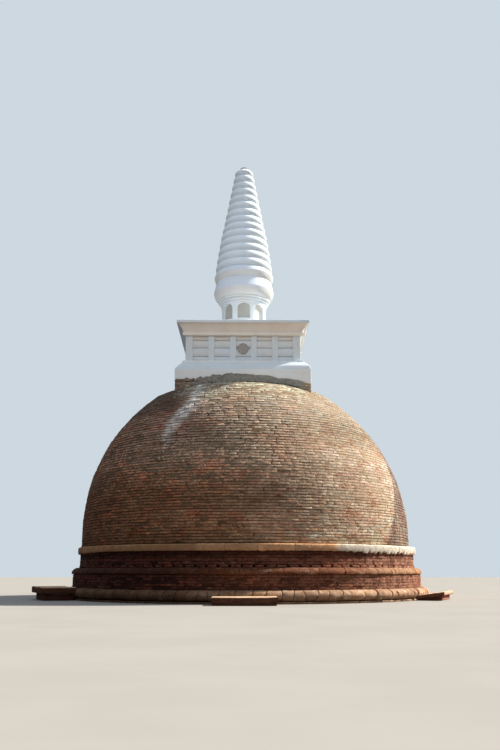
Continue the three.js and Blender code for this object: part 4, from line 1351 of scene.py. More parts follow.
def rough_slab(outline, z0, z1, seed, chip=0.014, cells=0.05, tilt=0.0, roll=0.0):
    """Closed slab with a subdivided, uneven edge from an outline in plan; tilt raises the outer end, roll a side."""
    g = np.random.default_rng(seed)
    pts = []
    for (x0, y0), (x1, y1) in zip(outline, outline[1:] + outline[:1]):
        k = max(1, int(math.hypot(x1 - x0, y1 - y0) / cells))
        pts += [(x0 + (x1 - x0) * i / k, y0 + (y1 - y0) * i / k) for i in range(k)]
    pts = np.array(pts)
    c = pts.mean(0)
    levels = [(0.0, 0.010), (0.12, 0.0), (0.5, 0.0), (0.86, 0.0), (1.0, 0.016)]
    rings = []
    worn = g.normal(0, 1, len(pts))
    worn = np.convolve(np.concatenate([worn[-2:], worn, worn[:2]]), [0.2, 0.2, 0.2, 0.2, 0.2], "valid")
    for h, inset in levels:
        d = c - pts
        d /= np.linalg.norm(d, axis=1)[:, None]
        ins = inset + np.maximum(0, worn) * chip + g.uniform(0, 0.004, len(pts))
        q = pts + d * ins[:, None]
        z = z0 + (z1 - z0) * h + (g.normal(0, 0.0015, len(pts)) if 0 < h < 1 else 0)
        z = np.broadcast_to(z, len(pts)) + tilt * (-q[:, 1] - 4.98) + roll * q[:, 0]
        rings.append(np.column_stack([q, z]))
    V = np.concatenate(rings)
    n = len(pts)
    faces = []
    for i in range(len(levels) - 1):
        for j in range(n):
            k = (j + 1) % n
            faces.append((i * n + j, i * n + k, (i + 1) * n + k, (i + 1) * n + j))
    # top and bottom as fans, with a slight hollow
    V = [tuple(p) for p in V]
    low, top = len(V), len(V) + 1
    mid_tilt = tilt * (-c[1] - 4.98)
    V.append((c[0], c[1], z0 + mid_tilt))
    V.append((c[0], c[1], z1 - 0.002 + mid_tilt))
    last = (len(levels) - 1) * n
    for j in range(n):
        k = (j + 1) % n
        faces.append((low, k, j))
        faces.append((top, last + j, last + k))
    return V, faces


def altar_outline(reach, half_w, inset):
    inner = 4.335
    outer, side = reach - inset, half_w - inset
    swing = math.asin(side / inner)
    out = [(-side, -outer), (side, -outer)]
    for i in range(7):
        t = swing - 2 * swing * i / 6
        out.append((inner * math.sin(t), -inner * math.cos(t)))
    return out


def altar(side, bearing, reach, half_w, z_mid, z_top, inset, seed, tilt=0.0, roll=0.0):
    v, f = rough_slab(altar_outline(reach, half_w, 0.0), z_mid + 0.0004, z_top, seed, tilt=tilt, roll=roll)
    ob = make_mesh(f"altar_top_{side}", turn(v, bearing / 90), f, smooth_angle=35,
                   attributes={"tint": ("FACE", [0.5] * len(f)), "tone": ("FACE", [0.5] * len(f))})
    finish_piece(ob, MAT_ALTAR, [f"altar_slab_{side}"])
    v, f = rough_slab(altar_outline(reach, half_w, inset), 0.0, z_mid, seed + 1, chip=0.01)
    v = [(x, y, z + (tilt * (-y - 4.98) + roll * x) * (z / z_mid)) for x, y, z in v]
    ob = make_mesh(f"altar_base_{side}", turn(v, bearing / 90), f, smooth_angle=35,
                   attributes={"tint": ("FACE", [0.2] * len(f)), "tone": ("FACE", [0.6] * len(f))})
    finish_piece(ob, MAT_ALTAR, [f"altar_support_{side}"])


altar("front", 0, 5.000, 0.635, 0.075, 0.155, 0.025, 61)
altar("back", 180, 5.000, 0.635, 0.075, 0.155, 0.025, 63)
altar("right", 68, 4.965, 0.680, 0.112, 0.194, 0.070, 65, tilt=0.135)
altar("left", -68, 5.045, 0.700, 0.150, 0.285, 0.090, 67)

# ----------------------------------------------------------------------- chamber

COAT = 1.655      # half width of the white coat of the plinth


def paint_edge(side, u):
    """Height where the white coat ends, along one side; u runs from -1 to 1."""
    u = np.asarray(u, float)
    ragged = 0.006 * np.sin(23 * u + side) + 0.005 * np.sin(57 * u + 2 * side) + 0.004 * np.sin(131 * u + side * 3)
    if side == 0:
        knots_u = [-1, -0.70, -0.577, -0.419, -0.288, -0.10, 0.07, 0.31, 0.42, 0.526, 0.705, 0.77, 0.875, 0.905, 1.0]
        knots_z = [5.143, 5.159, 5.198, 5.238, 5.270, 5.288, 5.263, 5.238, 5.223, 5.161, 5.151, 5.136, 5.091, 5.041,
                   5.038]
        torn = smooth(u, 0.0, -0.35) * smooth(u, -0.98, -0.85)
        ragged = ragged + torn * (0.016 * np.sin(29 * u + 1.0) + 0.018 * np.sin(67 * u) + 0.014 * np.sin(113 * u + 2.0))
    else:
        knots_u = [-1, -0.7, -0.4, -0.1, 0.2, 0.55, 0.8, 1.0]
        lift = 0.012 * (side - 2)
        knots_z = [5.090 + lift, 5.145, 5.215 - lift, 5.270, 5.262, 5.190 + lift, 5.130, 5.085 - lift]
    return np.interp(u, knots_u, knots_z) + ragged


def plinth():
    """White coat from its ragged lower edge over the shoulder to the railing."""
    side, arc = 150, 3
    ring = square_ring(COAT, 0.010, side, arc)
    per = side + arc
    n = len(ring)
    edge = np.zeros(n)
    for i in range(n):
        s = (i // per) % 4
        q = -s * math.pi / 2
        x, y = ring[i]
        lx = x * math.cos(q) - y * math.sin(q)
        edge[i] = paint_edge(s, lx / COAT)
    # soften the step where two sides meet
    for _ in range(2):
        edge = 0.6 * edge + 0.2 * (np.roll(edge, 1) + np.roll(edge, -1))
    unit = ring / COAT
    levels = [("e", -0.022, 0.0), ("e", -0.002, 0.002), ("e", 0.0, 0.008)]
    for t in (0.15, 0.4, 0.7, 0.95):
        levels.append(("s", 0.0, t))
    levels += [("h", 0.0, 5.392), ("h", -0.003, 5.399), ("h", -0.010, 5.411), ("h", -0.019, 5.424),
               ("h", -0.040, 5.455), ("h", -0.063, 5.488), ("h", -0.100, 5.530), ("h", -0.140, 5.568),
               ("h", -0.160, 5.600), ("h", -0.168, 5.625), ("h", -0.171, 5.649), ("h", -0.30, 5.651)]
    rows = []
    for kind, dr, v in levels:
        h = COAT + dr
        if kind == "e":
            z = edge + v
        elif kind == "s":
            z = edge + 0.015 + (5.385 - edge - 0.015) * v
        else:
            z = np.full(n, v)
        full = smooth(unit[:, 0], 0.2, 0.9) * smooth(v, 5.40, 5.49) * smooth(v, 5.640, 5.56) if kind == "h" else 0.0
        xy = unit * (h + 0.034 * full)[:, None] if kind == "h" else unit * h
        a = np.arctan2(xy[:, 0], -xy[:, 1])
        if dr > -0.2:
            push = 0.0030 * swell(a, z * 4, 1.5, 4, 26)
            xy = xy * (1 + push / COAT)[:, None]
        rows.append(np.column_stack([xy, z]))
    V = np.array(rows)
    faces = []
    for i in range(len(levels) - 1):
        for j in range(n):
            k = (j + 1) % n
            faces.append((i * n + j, i * n + k, (i + 1) * n + k, (i + 1) * n + j))
    faces.append(tuple(range((len(levels) - 1) * n, len(levels) * n)))
    verts = [tuple(p) for p in V.reshape(-1, 3)]
    # close the body inside the masonry
    base = len(verts)
    inner = np.column_stack([unit * 1.40, edge])
    verts += [tuple(p) for p in inner]
    for j in range(n):
        k = (j + 1) % n
        faces.append((base + j, base + k, k, j))
    faces.append(tuple(base + j for j in reversed(range(n))))
    ob = make_mesh("plinth_coat", verts, faces, smooth_angle=28)
    return finish_piece(ob, MAT_PLINTH, ["chamber_plinth"])


plinth()


def dome_at(x, y):
    """Height of the dome's surface under a point of the chamber."""
    r = np.hypot(x, y)
    return np.interp(r, DOME[::-1, 0], DOME[::-1, 1])


def foot_masonry():
    """Cement band that follows the dome, over brick that shows at the corners."""
    side, arc, half_w = 96, 2, 1.645
    g = np.random.default_rng(71)
    zs = np.linspace(4.78, 5.35, 30)
    ring = square_ring(half_w, 0.012, side, arc)
    n = len(ring)
    a = np.arctan2(ring[:, 0], -ring[:, 1])
    sag = dome_at(ring[:, 0], ring[:, 1])
    rows, foot = [], []
    for z in zs:
        up = z - sag
        # thick at its foot, lumpy, thin where it meets the white coat
        thick = 0.008 * smooth(up, 0.16, 0.0) - 0.004
        push = thick + 0.0055 * swell(a * 1.0, z * 5 * np.ones(n), 2.0, 12, 60) + g.normal(0, 0.0026, n)
        push = np.where(up > 0.08, np.minimum(push, 0.004), push)
        rows.append(np.column_stack([ring * (1 + push / half_w)[:, None], np.full(n, z)]))
        foot.append(up + g.normal(0, 0.006, n))
    V = np.array(rows).reshape(-1, 3)
    faces = []
    for i in range(len(zs) - 1):
        for j in range(n):
            k = (j + 1) % n
            faces.append((i * n + j, i * n + k, (i + 1) * n + k, (i + 1) * n + j))
    faces.append(tuple(reversed(range(n))))
    faces.append(tuple(range((len(zs) - 1) * n, len(zs) * n)))
    ob = make_mesh("foot_cement", [tuple(p) for p in V], faces, smooth_angle=60,
                   attributes={"tint": ("FACE", [0.5] * len(faces)), "tone": ("FACE", [0.2] * len(faces)),
                               "foot": ("POINT", np.concatenate(foot))})
    finish_piece(ob, MAT_CEMENT, ["chamber_footing"])

    # bricks that show at the ends of each side
    C, T, M, N_, HW, HH, t1, t2 = [], [], [], [], [], [], [], []
    for s in range(4):
        q = s * math.pi / 2
        c, sn = math.cos(q), math.sin(q)
        for end in (-1, 1):
            for row in range(5):
                z = 4.852 + row * 0.0605
                reach = (0.44, 0.44, 0.44, 0.45, 0.42)[row] if end < 0 else (0.34, 0.30, 0.22, 0.16, 0.0)[row]
                if s:
                    reach *= 0.85 + 0.1 * (s % 2)
                u = 1.648 - 0.010 * (row % 2)
                stop = u - reach
                while u > stop + 0.03:
                    w = min(g.uniform(0.15, 0.25), u - stop + 0.02)
                    x, y = end * (u - w / 2), -1.652 + g.normal(0, 0.002)
                    if z + 0.03 > dome_at(x, y) and w > 0.06:
                        C.append((x * c - y * sn, x * sn + y * c, z + g.normal(0, 0.002)))
                        T.append((c, sn, 0)); N_.append((sn, -c, 0)); M.append((0, 0, 1))
                        HW.append(w / 2 - 0.004)
                        HH.append(0.0272)
                        t1.append(g.uniform(0.0, 0.22) if row == 4 else g.uniform(0.34, 0.78))
                        t2.append(g.random())
                    u -= w
            if end < 0:
                # a dark stone beside the top row
                x, y = -(1.648 - 0.52), -1.654
                C.append((x * c - y * sn, x * sn + y * c, 5.115))
                T.append((c, sn, 0)); N_.append((sn, -c, 0)); M.append((0, 0, 1))
                HW.append(0.115); HH.append(0.036); t1.append(1.0); t2.append(0.3)
    C, T, M, N_ = (np.array(x, float) for x in (C, T, M, N_))
    V, F, rim = brick_bodies(C, T, M, N_, np.array(HW), np.array(HH), np.full(len(C), 0.06), 72, 0.9, 0.3)
    bricks_object("foot_corner_bricks", (V, F, np.repeat(t1, QUADS), np.repeat(t2, QUADS), rim), MAT_FOOT)


foot_masonry()


def blobs(centres, normals, sizes, thick, seed):
    """Small closed lumps lying on a surface."""
    g = np.random.default_rng(seed)
    rings, seg = 4, 8
    verts, faces = [], []
    for c, n, size, th in zip(centres, normals, sizes, thick):
        n = np.array(n) / np.linalg.norm(n)
        t = np.array([-n[1], n[0], 0.0]) / max(1e-6, math.hypot(n[0], n[1]))
        m = np.cross(n, t)
        o = len(verts)
        stretch, spin = g.uniform(1.0, 1.9), g.uniform(-0.4, 0.4)
        for i in range(1, rings):
            t_i = math.pi * i / rings
            for k in range(seg):
                b = TAU * k / seg
                rr = math.sin(t_i) * size * g.uniform(0.8, 1.2)
                u, v = rr * math.cos(b) * stretch, rr * math.sin(b)
                u, v = u * math.cos(spin) - v * math.sin(spin), v * math.cos(spin) + u * math.sin(spin)
                verts.append(tuple(c + t * u + m * v + n * th * math.cos(t_i)))
        for i in range(rings - 2):
            for k in range(seg):
                j = (k + 1) % seg
                faces.append((o + i * seg + k, o + (i + 1) * seg + k, o + (i + 1) * seg + j, o + i * seg + j))
        top, low = len(verts), len(verts) + 1
        verts += [tuple(c + n * th), tuple(c - n * th)]
        last = o + (rings - 2) * seg
        for k in range(seg):
            j = (k + 1) % seg
            faces.append((top, o + k, o + j))
            faces.append((low, last + j, last + k))
    return verts, faces


def mortar_dabs():
    """Lumps of old mortar on the crown and on the cement beside it."""
    g = np.random.default_rng(81)
    C, Nn, S, T = [], [], [], []
    while len(C) < 230:
        x, z = g.uniform(-1.60, -0.10), g.uniform(4.60, 5.00)
        if g.random() > 0.25 + 0.75 * math.exp(-((x + 1.05) / 0.45) ** 2):
            continue
        r = float(dome_radius(z))
        if r <= abs(x) + 0.2:
            continue
        a = math.asin(x / r)
        slope = math.atan2(float(dome_radius(z - 0.02)) - float(dome_radius(z + 0.02)), 0.04)
        n = (math.sin(a) * math.cos(slope), -math.cos(a) * math.cos(slope), math.sin(slope))
        C.append(lean_points([(x, -r * math.cos(a), z)])[0])
        Nn.append(n)
        S.append(g.uniform(0.012, 0.032))
        T.append(g.uniform(0.007, 0.015))
    for _ in range(70):
        x = g.uniform(-1.30, -0.25)
        low = dome_at(x, -1.65)
        z = g.uniform(low, low + 0.16)
        C.append(np.array([x + CHAMBER_SHIFT, -1.652, z]))
        Nn.append((0.0, -1.0, g.uniform(-0.3, 0.3)))
        S.append(g.uniform(0.015, 0.035))
        T.append(g.uniform(0.007, 0.016))
    v, f = blobs(C, Nn, S, T, 82)
    per = len(f) // len(C)
    tone = g.random(len(C))
    ob = make_mesh("mortar_dabs", v, f, smooth_angle=60,
                   attributes={"tint": ("FACE", np.repeat(tone, per)), "tone": ("FACE", np.repeat(tone, per)),
                               "foot": ("POINT", np.full(len(v), 0.06))})
    outward(ob)
    finish_piece(ob, MAT_CEMENT)


def square_piece(name, levels, replaces=(), corner=0.006, wobble=0.0018, side=24, seed=0.0,
                 material=None, angle=35):
    v, f = loft_square(levels, corner, side, 4, wobble, seed)
    ob = make_mesh(name, v, f, smooth_angle=angle)
    return finish_piece(ob, material or MAT_PLASTER, replaces)


square_piece("chamber_wall", [(1.330, 5.640), (1.330, 6.310)], replaces=["chamber_core"], side=30,
             material=MAT_PANEL)


def post_verts(x0, x1, depth0, depth1, z0, z1, b=0.006):
    """Upright with softened front edges, front towards -Y."""
    out = [(x0, -depth0), (x0, -(depth1 - b)), (x0 + b * 0.35, -(depth1 - b * 0.35)), (x0 + b, -depth1),
           (x1 - b, -depth1), (x1 - b * 0.35, -(depth1 - b * 0.35)), (x1, -(depth1 - b)), (x1, -depth0)]
    zs = np.linspace(z0, z1, 6)
    verts, faces = [], []
    P = len(out)
    for k, z in enumerate(zs):
        for x, y in out:
            verts.append((x + 0.0015 * math.sin(9 * z + x * 7), y + 0.0015 * math.sin(7 * z + x * 11), z))
    for i in range(len(zs) - 1):
        for j in range(P):
            k = (j + 1) % P
            faces.append((i * P + j, i * P + k, (i + 1) * P + k, (i + 1) * P + j))
    faces.append(tuple(reversed(range(P))))
    faces.append(tuple(range((len(zs) - 1) * P, len(zs) * P)))
    return verts, faces


def rail_verts(x0, x1, z0, z1, depth0, depth1, seed):
    """Rail with a lens-shaped face."""
    P = 9
    out = [(-depth0, z0)]
    for i in range(P):
        t = i / (P - 1)
        out.append((-(depth0 + 0.016 + (depth1 - depth0 - 0.016) * math.sin(math.pi * (0.12 + 0.76 * t)) ** 0.8),
                    z0 + 0.003 + (z1 - z0 - 0.006) * t))
    out.append((-depth0, z1))
    verts, faces = [], []
    xs = np.linspace(x0, x1, 9)
    n = len(out)
    for x in xs:
        for y, z in out:
            verts.append((x, y + 0.0018 * math.sin(13 * x + seed), z + 0.002 * math.sin(8 * x + seed * 1.7)))
    for i in range(len(xs) - 1):
        for j in range(n):
            k = (j + 1) % n
            faces.append((i * n + j, i * n + k, (i + 1) * n + k, (i + 1) * n + j))
    faces.append(tuple(reversed(range(n))))
    faces.append(tuple(range((len(xs) - 1) * n, len(xs) * n)))
    return verts, faces


def railing(side, quarter):
    z0, z1 = 5.649, 6.301
    posts = [(-0.859, -0.705), (-0.324, -0.174), (0.198, 0.346), (0.718, 0.866)]
    v, f = join_lists([post_verts(a, b, 1.32, 1.420, z0, z1) for a, b in posts])
    ob = make_mesh(f"railing_posts_{side}", turn(v, quarter), f, smooth_angle=40)
    finish_piece(ob, MAT_PLASTER)
    parts = []
    bays = [(-1.244, -0.857), (-0.707, -0.322), (-0.176, 0.200), (0.344, 0.720), (0.864, 1.244)]
    rails = [(5.650, 5.768), (5.793, 5.987), (6.012, 6.178), (6.203, 6.302)]
    for i, (a, b) in enumerate(bays):
        for j, (c, d) in enumerate(rails):
            parts.append(rail_verts(a, b, c, d, 1.325, 1.388, i * 3 + j + quarter))
    v, f = join_lists(parts)
    ob = make_mesh(f"railing_rails_{side}", turn(v, quarter), f, smooth_angle=40)
    finish_piece(ob, MAT_PANEL, [f"railing_{side}"])


for s, q in (("front", 0), ("right", 1), ("back", 2), ("left", 3)):
    railing(s, q)


def corner_post(name, q):
    face, arm, back = 1.420, 1.240, 1.31
    b = 0.007
    out = [(face, -face + b), (face, -arm - b), (face - b, -arm), (back, -arm), (back, -back), (arm, -back),
           (arm, -face + b), (arm + b, -face), (face - b, -face), (face - b * 0.35, -face + b * 0.35)]
    zs = np.linspace(5.649, 6.301, 6)
    verts, faces = [], []
    P = len(out)
    for z in zs:
        for x, y in out:
            verts.append((x + 0.0012 * math.sin(9 * z + q), y + 0.0012 * math.sin(7 * z + q * 2), z))
    for i in range(len(zs) - 1):
        for j in range(P):
            k = (j + 1) % P
            faces.append((i * P + k, i * P + j, (i + 1) * P + j, (i + 1) * P + k))
    faces.append(tuple(range(P)))
    faces.append(tuple(reversed(range((len(zs) - 1) * P, len(zs) * P))))
    ob = make_mesh(f"chamber_post_{name}", turn(verts, q), faces, smooth_angle=40)
    outward(ob)
    finish_piece(ob, MAT_PLASTER, [f"corner_post_{name}"])


def outward(ob):
    bm = bmesh.new()
    bm.from_mesh(ob.data)
    bmesh.ops.recalc_face_normals(bm, faces=bm.faces)
    bm.to_mesh(ob.data)
    bm.free()


for i, nme in enumerate(("front_right", "back_right", "back_left", "front_left")):
    corner_post(nme, i)

mortar_dabs()


def disc(side, quarter):
    prof = [(0.140, -1.384), (0.140, -1.402), (0.136, -1.410), (0.128, -1.4145)]
    n = 48
    verts, faces = [], []
    zc = 5.978
    for r, y in prof:
        for k in range(n):
            t = TAU * k / n
            rr = r * (1 + 0.008 * math.sin(5 * t + quarter) + 0.005 * math.sin(11 * t + 2))
            verts.append((rr * math.cos(t), y, zc + rr * math.sin(t)))
    for i in range(len(prof) - 1):
        for k in range(n):
            m = (k + 1) % n
            faces.append((i * n + k, i * n + m, (i + 1) * n + m, (i + 1) * n + k))
    c0 = len(verts)
    verts.append((0, prof[0][1], zc))
    c1 = len(verts)
    verts.append((0, -1.4155, zc))
    top = (len(prof) - 1) * n
    for k in range(n):
        m = (k + 1) % n
        faces.append((c0, m, k))
        faces.append((c1, top + k, top + m))
    ob = make_mesh(f"sun_disc_{side}", turn(verts, quarter), faces, smooth_angle=35,
                   attributes={"tint": ("FACE", [0.5] * len(faces)), "tone": ("FACE", [0.2] * len(faces))})
    outward(ob)
    finish_piece(ob, MAT_DISC, [f"disc_{side}"])


for s, q in (("front", 0), ("right", 1), ("back", 2), ("left", 3)):
    disc(s, q)

square_piece("chamber_band", [(1.484, 6.3005), (1.493, 6.306), (1.494, 6.376), (1.486, 6.3835), (1.474, 6.3895)],
             replaces=["chamber_fillet"], seed=1.0, material=MAT_BAND)
cav = []
for i in range(13):
    t = i * math.pi / 24
    cav.append((1.476 + 0.149 * (0.45 * (1 - math.cos(t)) + 0.55 * math.sin(t)), 6.3905 + 0.189 * math.sin(t)))
square_piece("chamber_flare", cav, replaces=["chamber_cavetto"], corner=0.010, seed=2.0, material=MAT_SOFFIT)
square_piece("chamber_top_slab", [(1.628, 6.5805), (1.636, 6.588), (1.636, 6.650), (1.629, 6.6585), (1.60, 6.660)],
             replaces=["chamber_fascia"], seed=3.0)

# -------------------------------------------------------------------- niche drum

DRUM = 0.602


def hand(A, R, Z):
    return R + 0.0028 * swell(A, Z * 2.0, 1.2, 2, 9), Z + 0.0022 * swell(A + 4, Z * 0.8, 1.0, 1, 5)


turned_piece("drum_foot", [(0.640, 6.6605), (0.640, 6.975), (0.634, 6.988), (0.60, 6.990)], 96, MAT_PLASTER,
             ["drum_sill"], hand)


def niche_drum():
    v, f = around([(DRUM, 6.9905), (DRUM, 7.20), (DRUM, 7.40), (DRUM, 7.4795)], 160)
    body = make_mesh("niche_wall", v, f, smooth_angle=30)
    cutters = []
    w, low, spring, depth = 0.160, 7.045, 7.332, 0.078
    out = [(-w, low), (w, low)] + [(w * math.cos(i * math.pi / 24), spring + w * 0.86 * math.sin(i * math.pi / 24))
                                   for i in range(25)]
    for k in range(8):
        verts, faces = [], []
        n = len(out)
        for y in (-(DRUM - depth), -0.80):
            for x, z in out:
                verts.append((x, y, z))
        for j in range(n):
            m = (j + 1) % n
            faces.append((j, m, n + m, n + j))
        faces.append(tuple(reversed(range(n))))
        faces.append(tuple(range(n, 2 * n)))
        cutters.append((turn(verts, k / 2), faces))
    cv, cf = join_lists(cutters)
    cutter = make_mesh("niche_cutter", cv, cf, flat=True)
    outward(cutter)
    mod = body.modifiers.new("cut", "BOOLEAN")
    mod.operation = "DIFFERENCE"
    mod.solver = "EXACT"
    mod.object = cutter
    dg = bpy.context.evaluated_depsgraph_get()
    dg.update()
    me = bpy.data.meshes.new_from_object(body.evaluated_get(dg))
    body.modifiers.clear()
    body.data = me
    bpy.data.objects.remove(cutter)
    me.materials.clear()
    me.materials.append(MAT_PLASTER)
    me.materials.append(MAT_NICHE)
    for p in me.polygons:
        c = p.center
        r = math.hypot(c.x, c.y)
        deep = r < DRUM - 0.03 and 7.03 < c.z < 7.472 and abs(p.normal.z) < 0.5
        radial = abs(p.normal.x * c.x + p.normal.y * c.y) / max(r, 1e-6)
        p.material_index = 1 if deep and radial > 0.6 else 0
    me.polygons.foreach_set("use_smooth", np.ones(len(me.polygons), bool))
    me.set_sharp_from_angle(angle=math.radians(30))
    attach(body, "root")
    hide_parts("niche_drum")
    return body


niche_drum()

# --------------------------------------------------------------------- the cone

neck = [(0.602, 7.4805), (0.606, 7.500), (0.612, 7.528), (0.600, 7.533), (0.600, 7.549), (0.644, 7.550), (0.648, 7.555),
        (0.652, 7.590), (0.640, 7.595), (0.640, 7.612), (0.688, 7.613), (0.692, 7.618), (0.700, 7.640), (0.688, 7.645),
        (0.688, 7.660), (0.700, 7.6648)]
turned_piece("neck_steps", neck, 128, MAT_PLASTER, ["neck_mouldings"], hand, angle=28)


def curve_through(points, n=5):
    """Smooth profile through [radius, height] points."""
    p = np.array(points, float)
    t = np.concatenate([[0], np.cumsum(np.hypot(*np.diff(p, axis=0).T))])
    q = np.concatenate([np.linspace(t[i], t[i + 1], n, endpoint=False) for i in range(len(t) - 1)] + [[t[-1]]])
    out = []
    for k in range(2):
        m = np.gradient(p[:, k], t)
        i = np.clip(np.searchsorted(t, q, side="right") - 1, 0, len(t) - 2)
        h = t[i + 1] - t[i]
        s = (q - t[i]) / h
        out.append((2 * s**3 - 3 * s**2 + 1) * p[i, k] + (s**3 - 2 * s**2 + s) * h * m[i]
                   + (-2 * s**3 + 3 * s**2) * p[i + 1, k] + (s**3 - s**2) * h * m[i + 1])
    return np.column_stack(out)


lower = np.concatenate([
    curve_through([(0.712, 7.6655), (0.742, 7.700), (0.770, 7.748), (0.789, 7.808), (0.799, 7.862), (0.803, 7.898)], 3),
    curve_through([(0.802, 7.904), (0.789, 7.950), (0.774, 8.010), (0.757, 8.080), (0.735, 8.1595)], 3),
])
upper = np.concatenate([
    curve_through([(0.735, 8.1605), (0.754, 8.190), (0.774, 8.238), (0.788, 8.295), (0.793, 8.332)], 3),
    curve_through([(0.791, 8.338), (0.776, 8.378), (0.757, 8.425), (0.722, 8.4675)], 3),
])
turned_piece("large_ring_lower", lower, 144, MAT_RING, ["lower_ring"], hand, angle=12)
turned_piece("large_ring_upper", upper, 144, MAT_RING, ["upper_ring"], hand, angle=14)

RINGS = [(0.760, 8.568), (0.730, 8.789), (0.696, 9.013), (0.660, 9.236), (0.621, 9.466), (0.583, 9.676),
         (0.537, 9.890), (0.496, 10.102), (0.453, 10.333), (0.412, 10.547), (0.371, 10.771), (0.333, 10.978),
         (0.292, 11.200), (0.252, 11.425)]


def cone_profile():
    notch = 0.042
    feet = [(0.722, 8.4685)]
    for (r, z), (nr, nz) in zip(RINGS[:-1], RINGS[1:]):
        feet.append((min(r, nr) - notch, (z + nz) / 2 + 0.016))
    out = []
    n = 7
    for i, (r, z) in enumerate(RINGS):
        r0, z0 = feet[i]
        for k in range(n):
            t = 1 - k / n
            out.append((r0 + (r - r0) * (1 - t**1.8) ** 0.6, z + (z0 - z) * t))
        if i + 1 < len(RINGS):
            r2, z2 = feet[i + 1]
            for k in range(n):
                t = k / n
                out.append((r2 + (r - r2) * (1 - t**1.8) ** 0.6, z + (z2 - z) * t))
    out += [(0.252, 11.425), (0.2495, 11.440), (0.242, 11.456), (0.229, 11.472), (0.216, 11.485), (0.202, 11.4995)]
    return out


turned_piece("cone_rings", cone_profile(), 128, MAT_CONE, ["ringed_cone"], hand, angle=60)
turned_piece("cone_crown", [(0.201, 11.5005), (0.181, 11.516), (0.161, 11.532), (0.142, 11.547), (0.125, 11.5595),
                            (0.112, 11.567), (0.102, 11.571), (0.085, 11.572)], 72, MAT_CONE,
             ["cone_cap"], None, angle=60)
turned_piece("socket_stub", [(0.104, 11.5725), (0.104, 11.599), (0.098, 11.606), (0.078, 11.610)], 40, MAT_DARK_SOCKET,
             ["cap_socket"], None)

# --------------------------------------------------- how the parts stand off the axis

for ob in list(bpy.data.objects):
    if ob.type != "MESH":
        continue
    if ob.name.startswith(("kerb_", "torus_", "lower_drum_", "string_", "upper_drum_", "header_", "cornice_")):
        dx = BASE_SHIFT
    elif ob.name.startswith(("foot_", "plinth_", "chamber_", "railing_", "sun_disc_")):
        dx = CHAMBER_SHIFT
    elif ob.name.startswith(("drum_foot", "niche_wall", "neck_steps", "large_ring_", "cone_", "socket_")):
        dx = SPIRE_SHIFT
    else:
        continue
    if ob.name in frame_names:
        continue
    co = np.empty(len(ob.data.vertices) * 3, np.float32)
    ob.data.vertices.foreach_get("co", co)
    co[0::3] += dx
    ob.data.vertices.foreach_set("co", co)
    ob.data.update()

# ------------------------------------------------------------- floor, light, camera


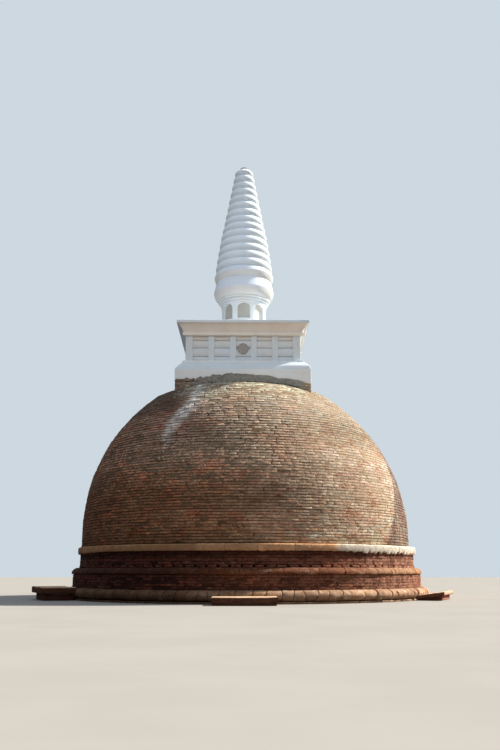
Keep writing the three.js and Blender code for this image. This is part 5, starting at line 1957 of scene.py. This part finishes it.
def stage():
    v, f = around([(60.0, -0.002), (0.5, -0.002)], 96, None, True, False)
    floor = make_mesh("floor", v, f)
    N = Nodes("floor_finish", 0.9, 0.1)
    n = N.span(N.noise(0.6, 3), 0.3, 0.7)
    path = N.t.nodes.new("ShaderNodeLightPath")
    seen = N.mix(n, srgb(156, 153, 148), srgb(161, 157, 152))
    lit = N.mix(n, srgb(112, 104, 96), srgb(117, 108, 99))
    N.color(N.mix(path.outputs["Is Camera Ray"], lit, seen))
    floor.data.materials.append(N.mat)

    world = bpy.data.worlds.new("studio")
    bpy.context.scene.world = world
    world.use_nodes = True
    t = world.node_tree
    t.nodes.clear()
    out = t.nodes.new("ShaderNodeOutputWorld")
    mix = t.nodes.new("ShaderNodeMixShader")
    path = t.nodes.new("ShaderNodeLightPath")
    light = t.nodes.new("ShaderNodeBackground")
    seen = t.nodes.new("ShaderNodeBackground")
    coord = t.nodes.new("ShaderNodeTexCoord")
    sep = t.nodes.new("ShaderNodeSeparateXYZ")
    t.links.new(coord.outputs["Generated"], sep.inputs[0])
    ramp = t.nodes.new("ShaderNodeMapRange")
    ramp.inputs["From Min"].default_value = -0.9
    ramp.inputs["From Max"].default_value = 0.9
    ramp.inputs["To Min"].default_value = 0.36
    ramp.inputs["To Max"].default_value = 0.69
    t.links.new(sep.outputs[0], ramp.inputs["Value"])
    up = t.nodes.new("ShaderNodeMapRange")
    up.inputs["From Min"].default_value = 0.0
    up.inputs["From Max"].default_value = 0.7
    up.inputs["To Min"].default_value = 0.35
    up.inputs["To Max"].default_value = 1.25
    t.links.new(sep.outputs[2], up.inputs["Value"])
    mul = t.nodes.new("ShaderNodeMath")
    mul.operation = "MULTIPLY"
    t.links.new(ramp.outputs[0], mul.inputs[0])
    t.links.new(up.outputs[0], mul.inputs[1])
    light.inputs["Color"].default_value = (0.845, 0.94, 1.06, 1)
    t.links.new(mul.outputs[0], light.inputs["Strength"])
    seen.inputs["Color"].default_value = srgb(205, 216, 224)
    seen.inputs["Strength"].default_value = 1.0
    t.links.new(path.outputs["Is Camera Ray"], mix.inputs[0])
    t.links.new(light.outputs[0], mix.inputs[1])
    t.links.new(seen.outputs[0], mix.inputs[2])
    t.links.new(mix.outputs[0], out.inputs[0])

    sun = bpy.data.lights.new("key", "SUN")
    sun.energy = 7.7
    sun.angle = math.radians(3.0)
    sun.color = (1.0, 0.93, 0.82)
    ob = bpy.data.objects.new("key", sun)
    bpy.context.scene.collection.objects.link(ob)
    az, el = math.radians(109), math.radians(40)
    direction = Vector((math.sin(az) * math.cos(el), -math.cos(az) * math.cos(el), math.sin(el)))
    ob.rotation_mode = "QUATERNION"
    ob.rotation_quaternion = direction.to_track_quat("Z", "Y")
    ob.location = direction * 30

    # a soft lamp from the front, for the chamber and the spire
    lamp = bpy.data.lights.new("front_fill", "SPOT")
    lamp.energy = FILL
    lamp.color = (0.87, 0.94, 1.0)
    lamp.shadow_soft_size = 2.5
    lamp.spot_size = math.radians(21)
    lamp.spot_blend = 0.35
    ob = bpy.data.objects.new("front_fill", lamp)
    bpy.context.scene.collection.objects.link(ob)
    ob.location = (-6.0, -22.0, 14.0)
    aim = Vector((0.0, 0.0, 8.7)) - ob.location
    ob.rotation_mode = "QUATERNION"
    ob.rotation_quaternion = (-aim).to_track_quat("Z", "Y")


FILL = 4700.0
stage()


def camera():
    cam = bpy.data.cameras.new("camera")
    cam.sensor_width = 36.0
    cam.sensor_fit = "AUTO"
    cam.lens = 38.4
    cam.clip_end = 500
    cam.dof.use_dof = False
    ob = bpy.data.objects.new("camera", cam)
    bpy.context.scene.collection.objects.link(ob)
    ob.location = (0.0, -20.5, 0.65)
    pitch, yaw = math.atan(195 / 800), math.radians(-0.383)
    ob.rotation_mode = "XYZ"
    ob.rotation_euler = (math.pi / 2 + pitch, 0.0, yaw)
    bpy.context.scene.camera = ob


camera()

vs = bpy.context.scene.view_settings
vs.view_transform = "Standard"
vs.look = "None"
vs.exposure = 0.0
vs.gamma = 1.0
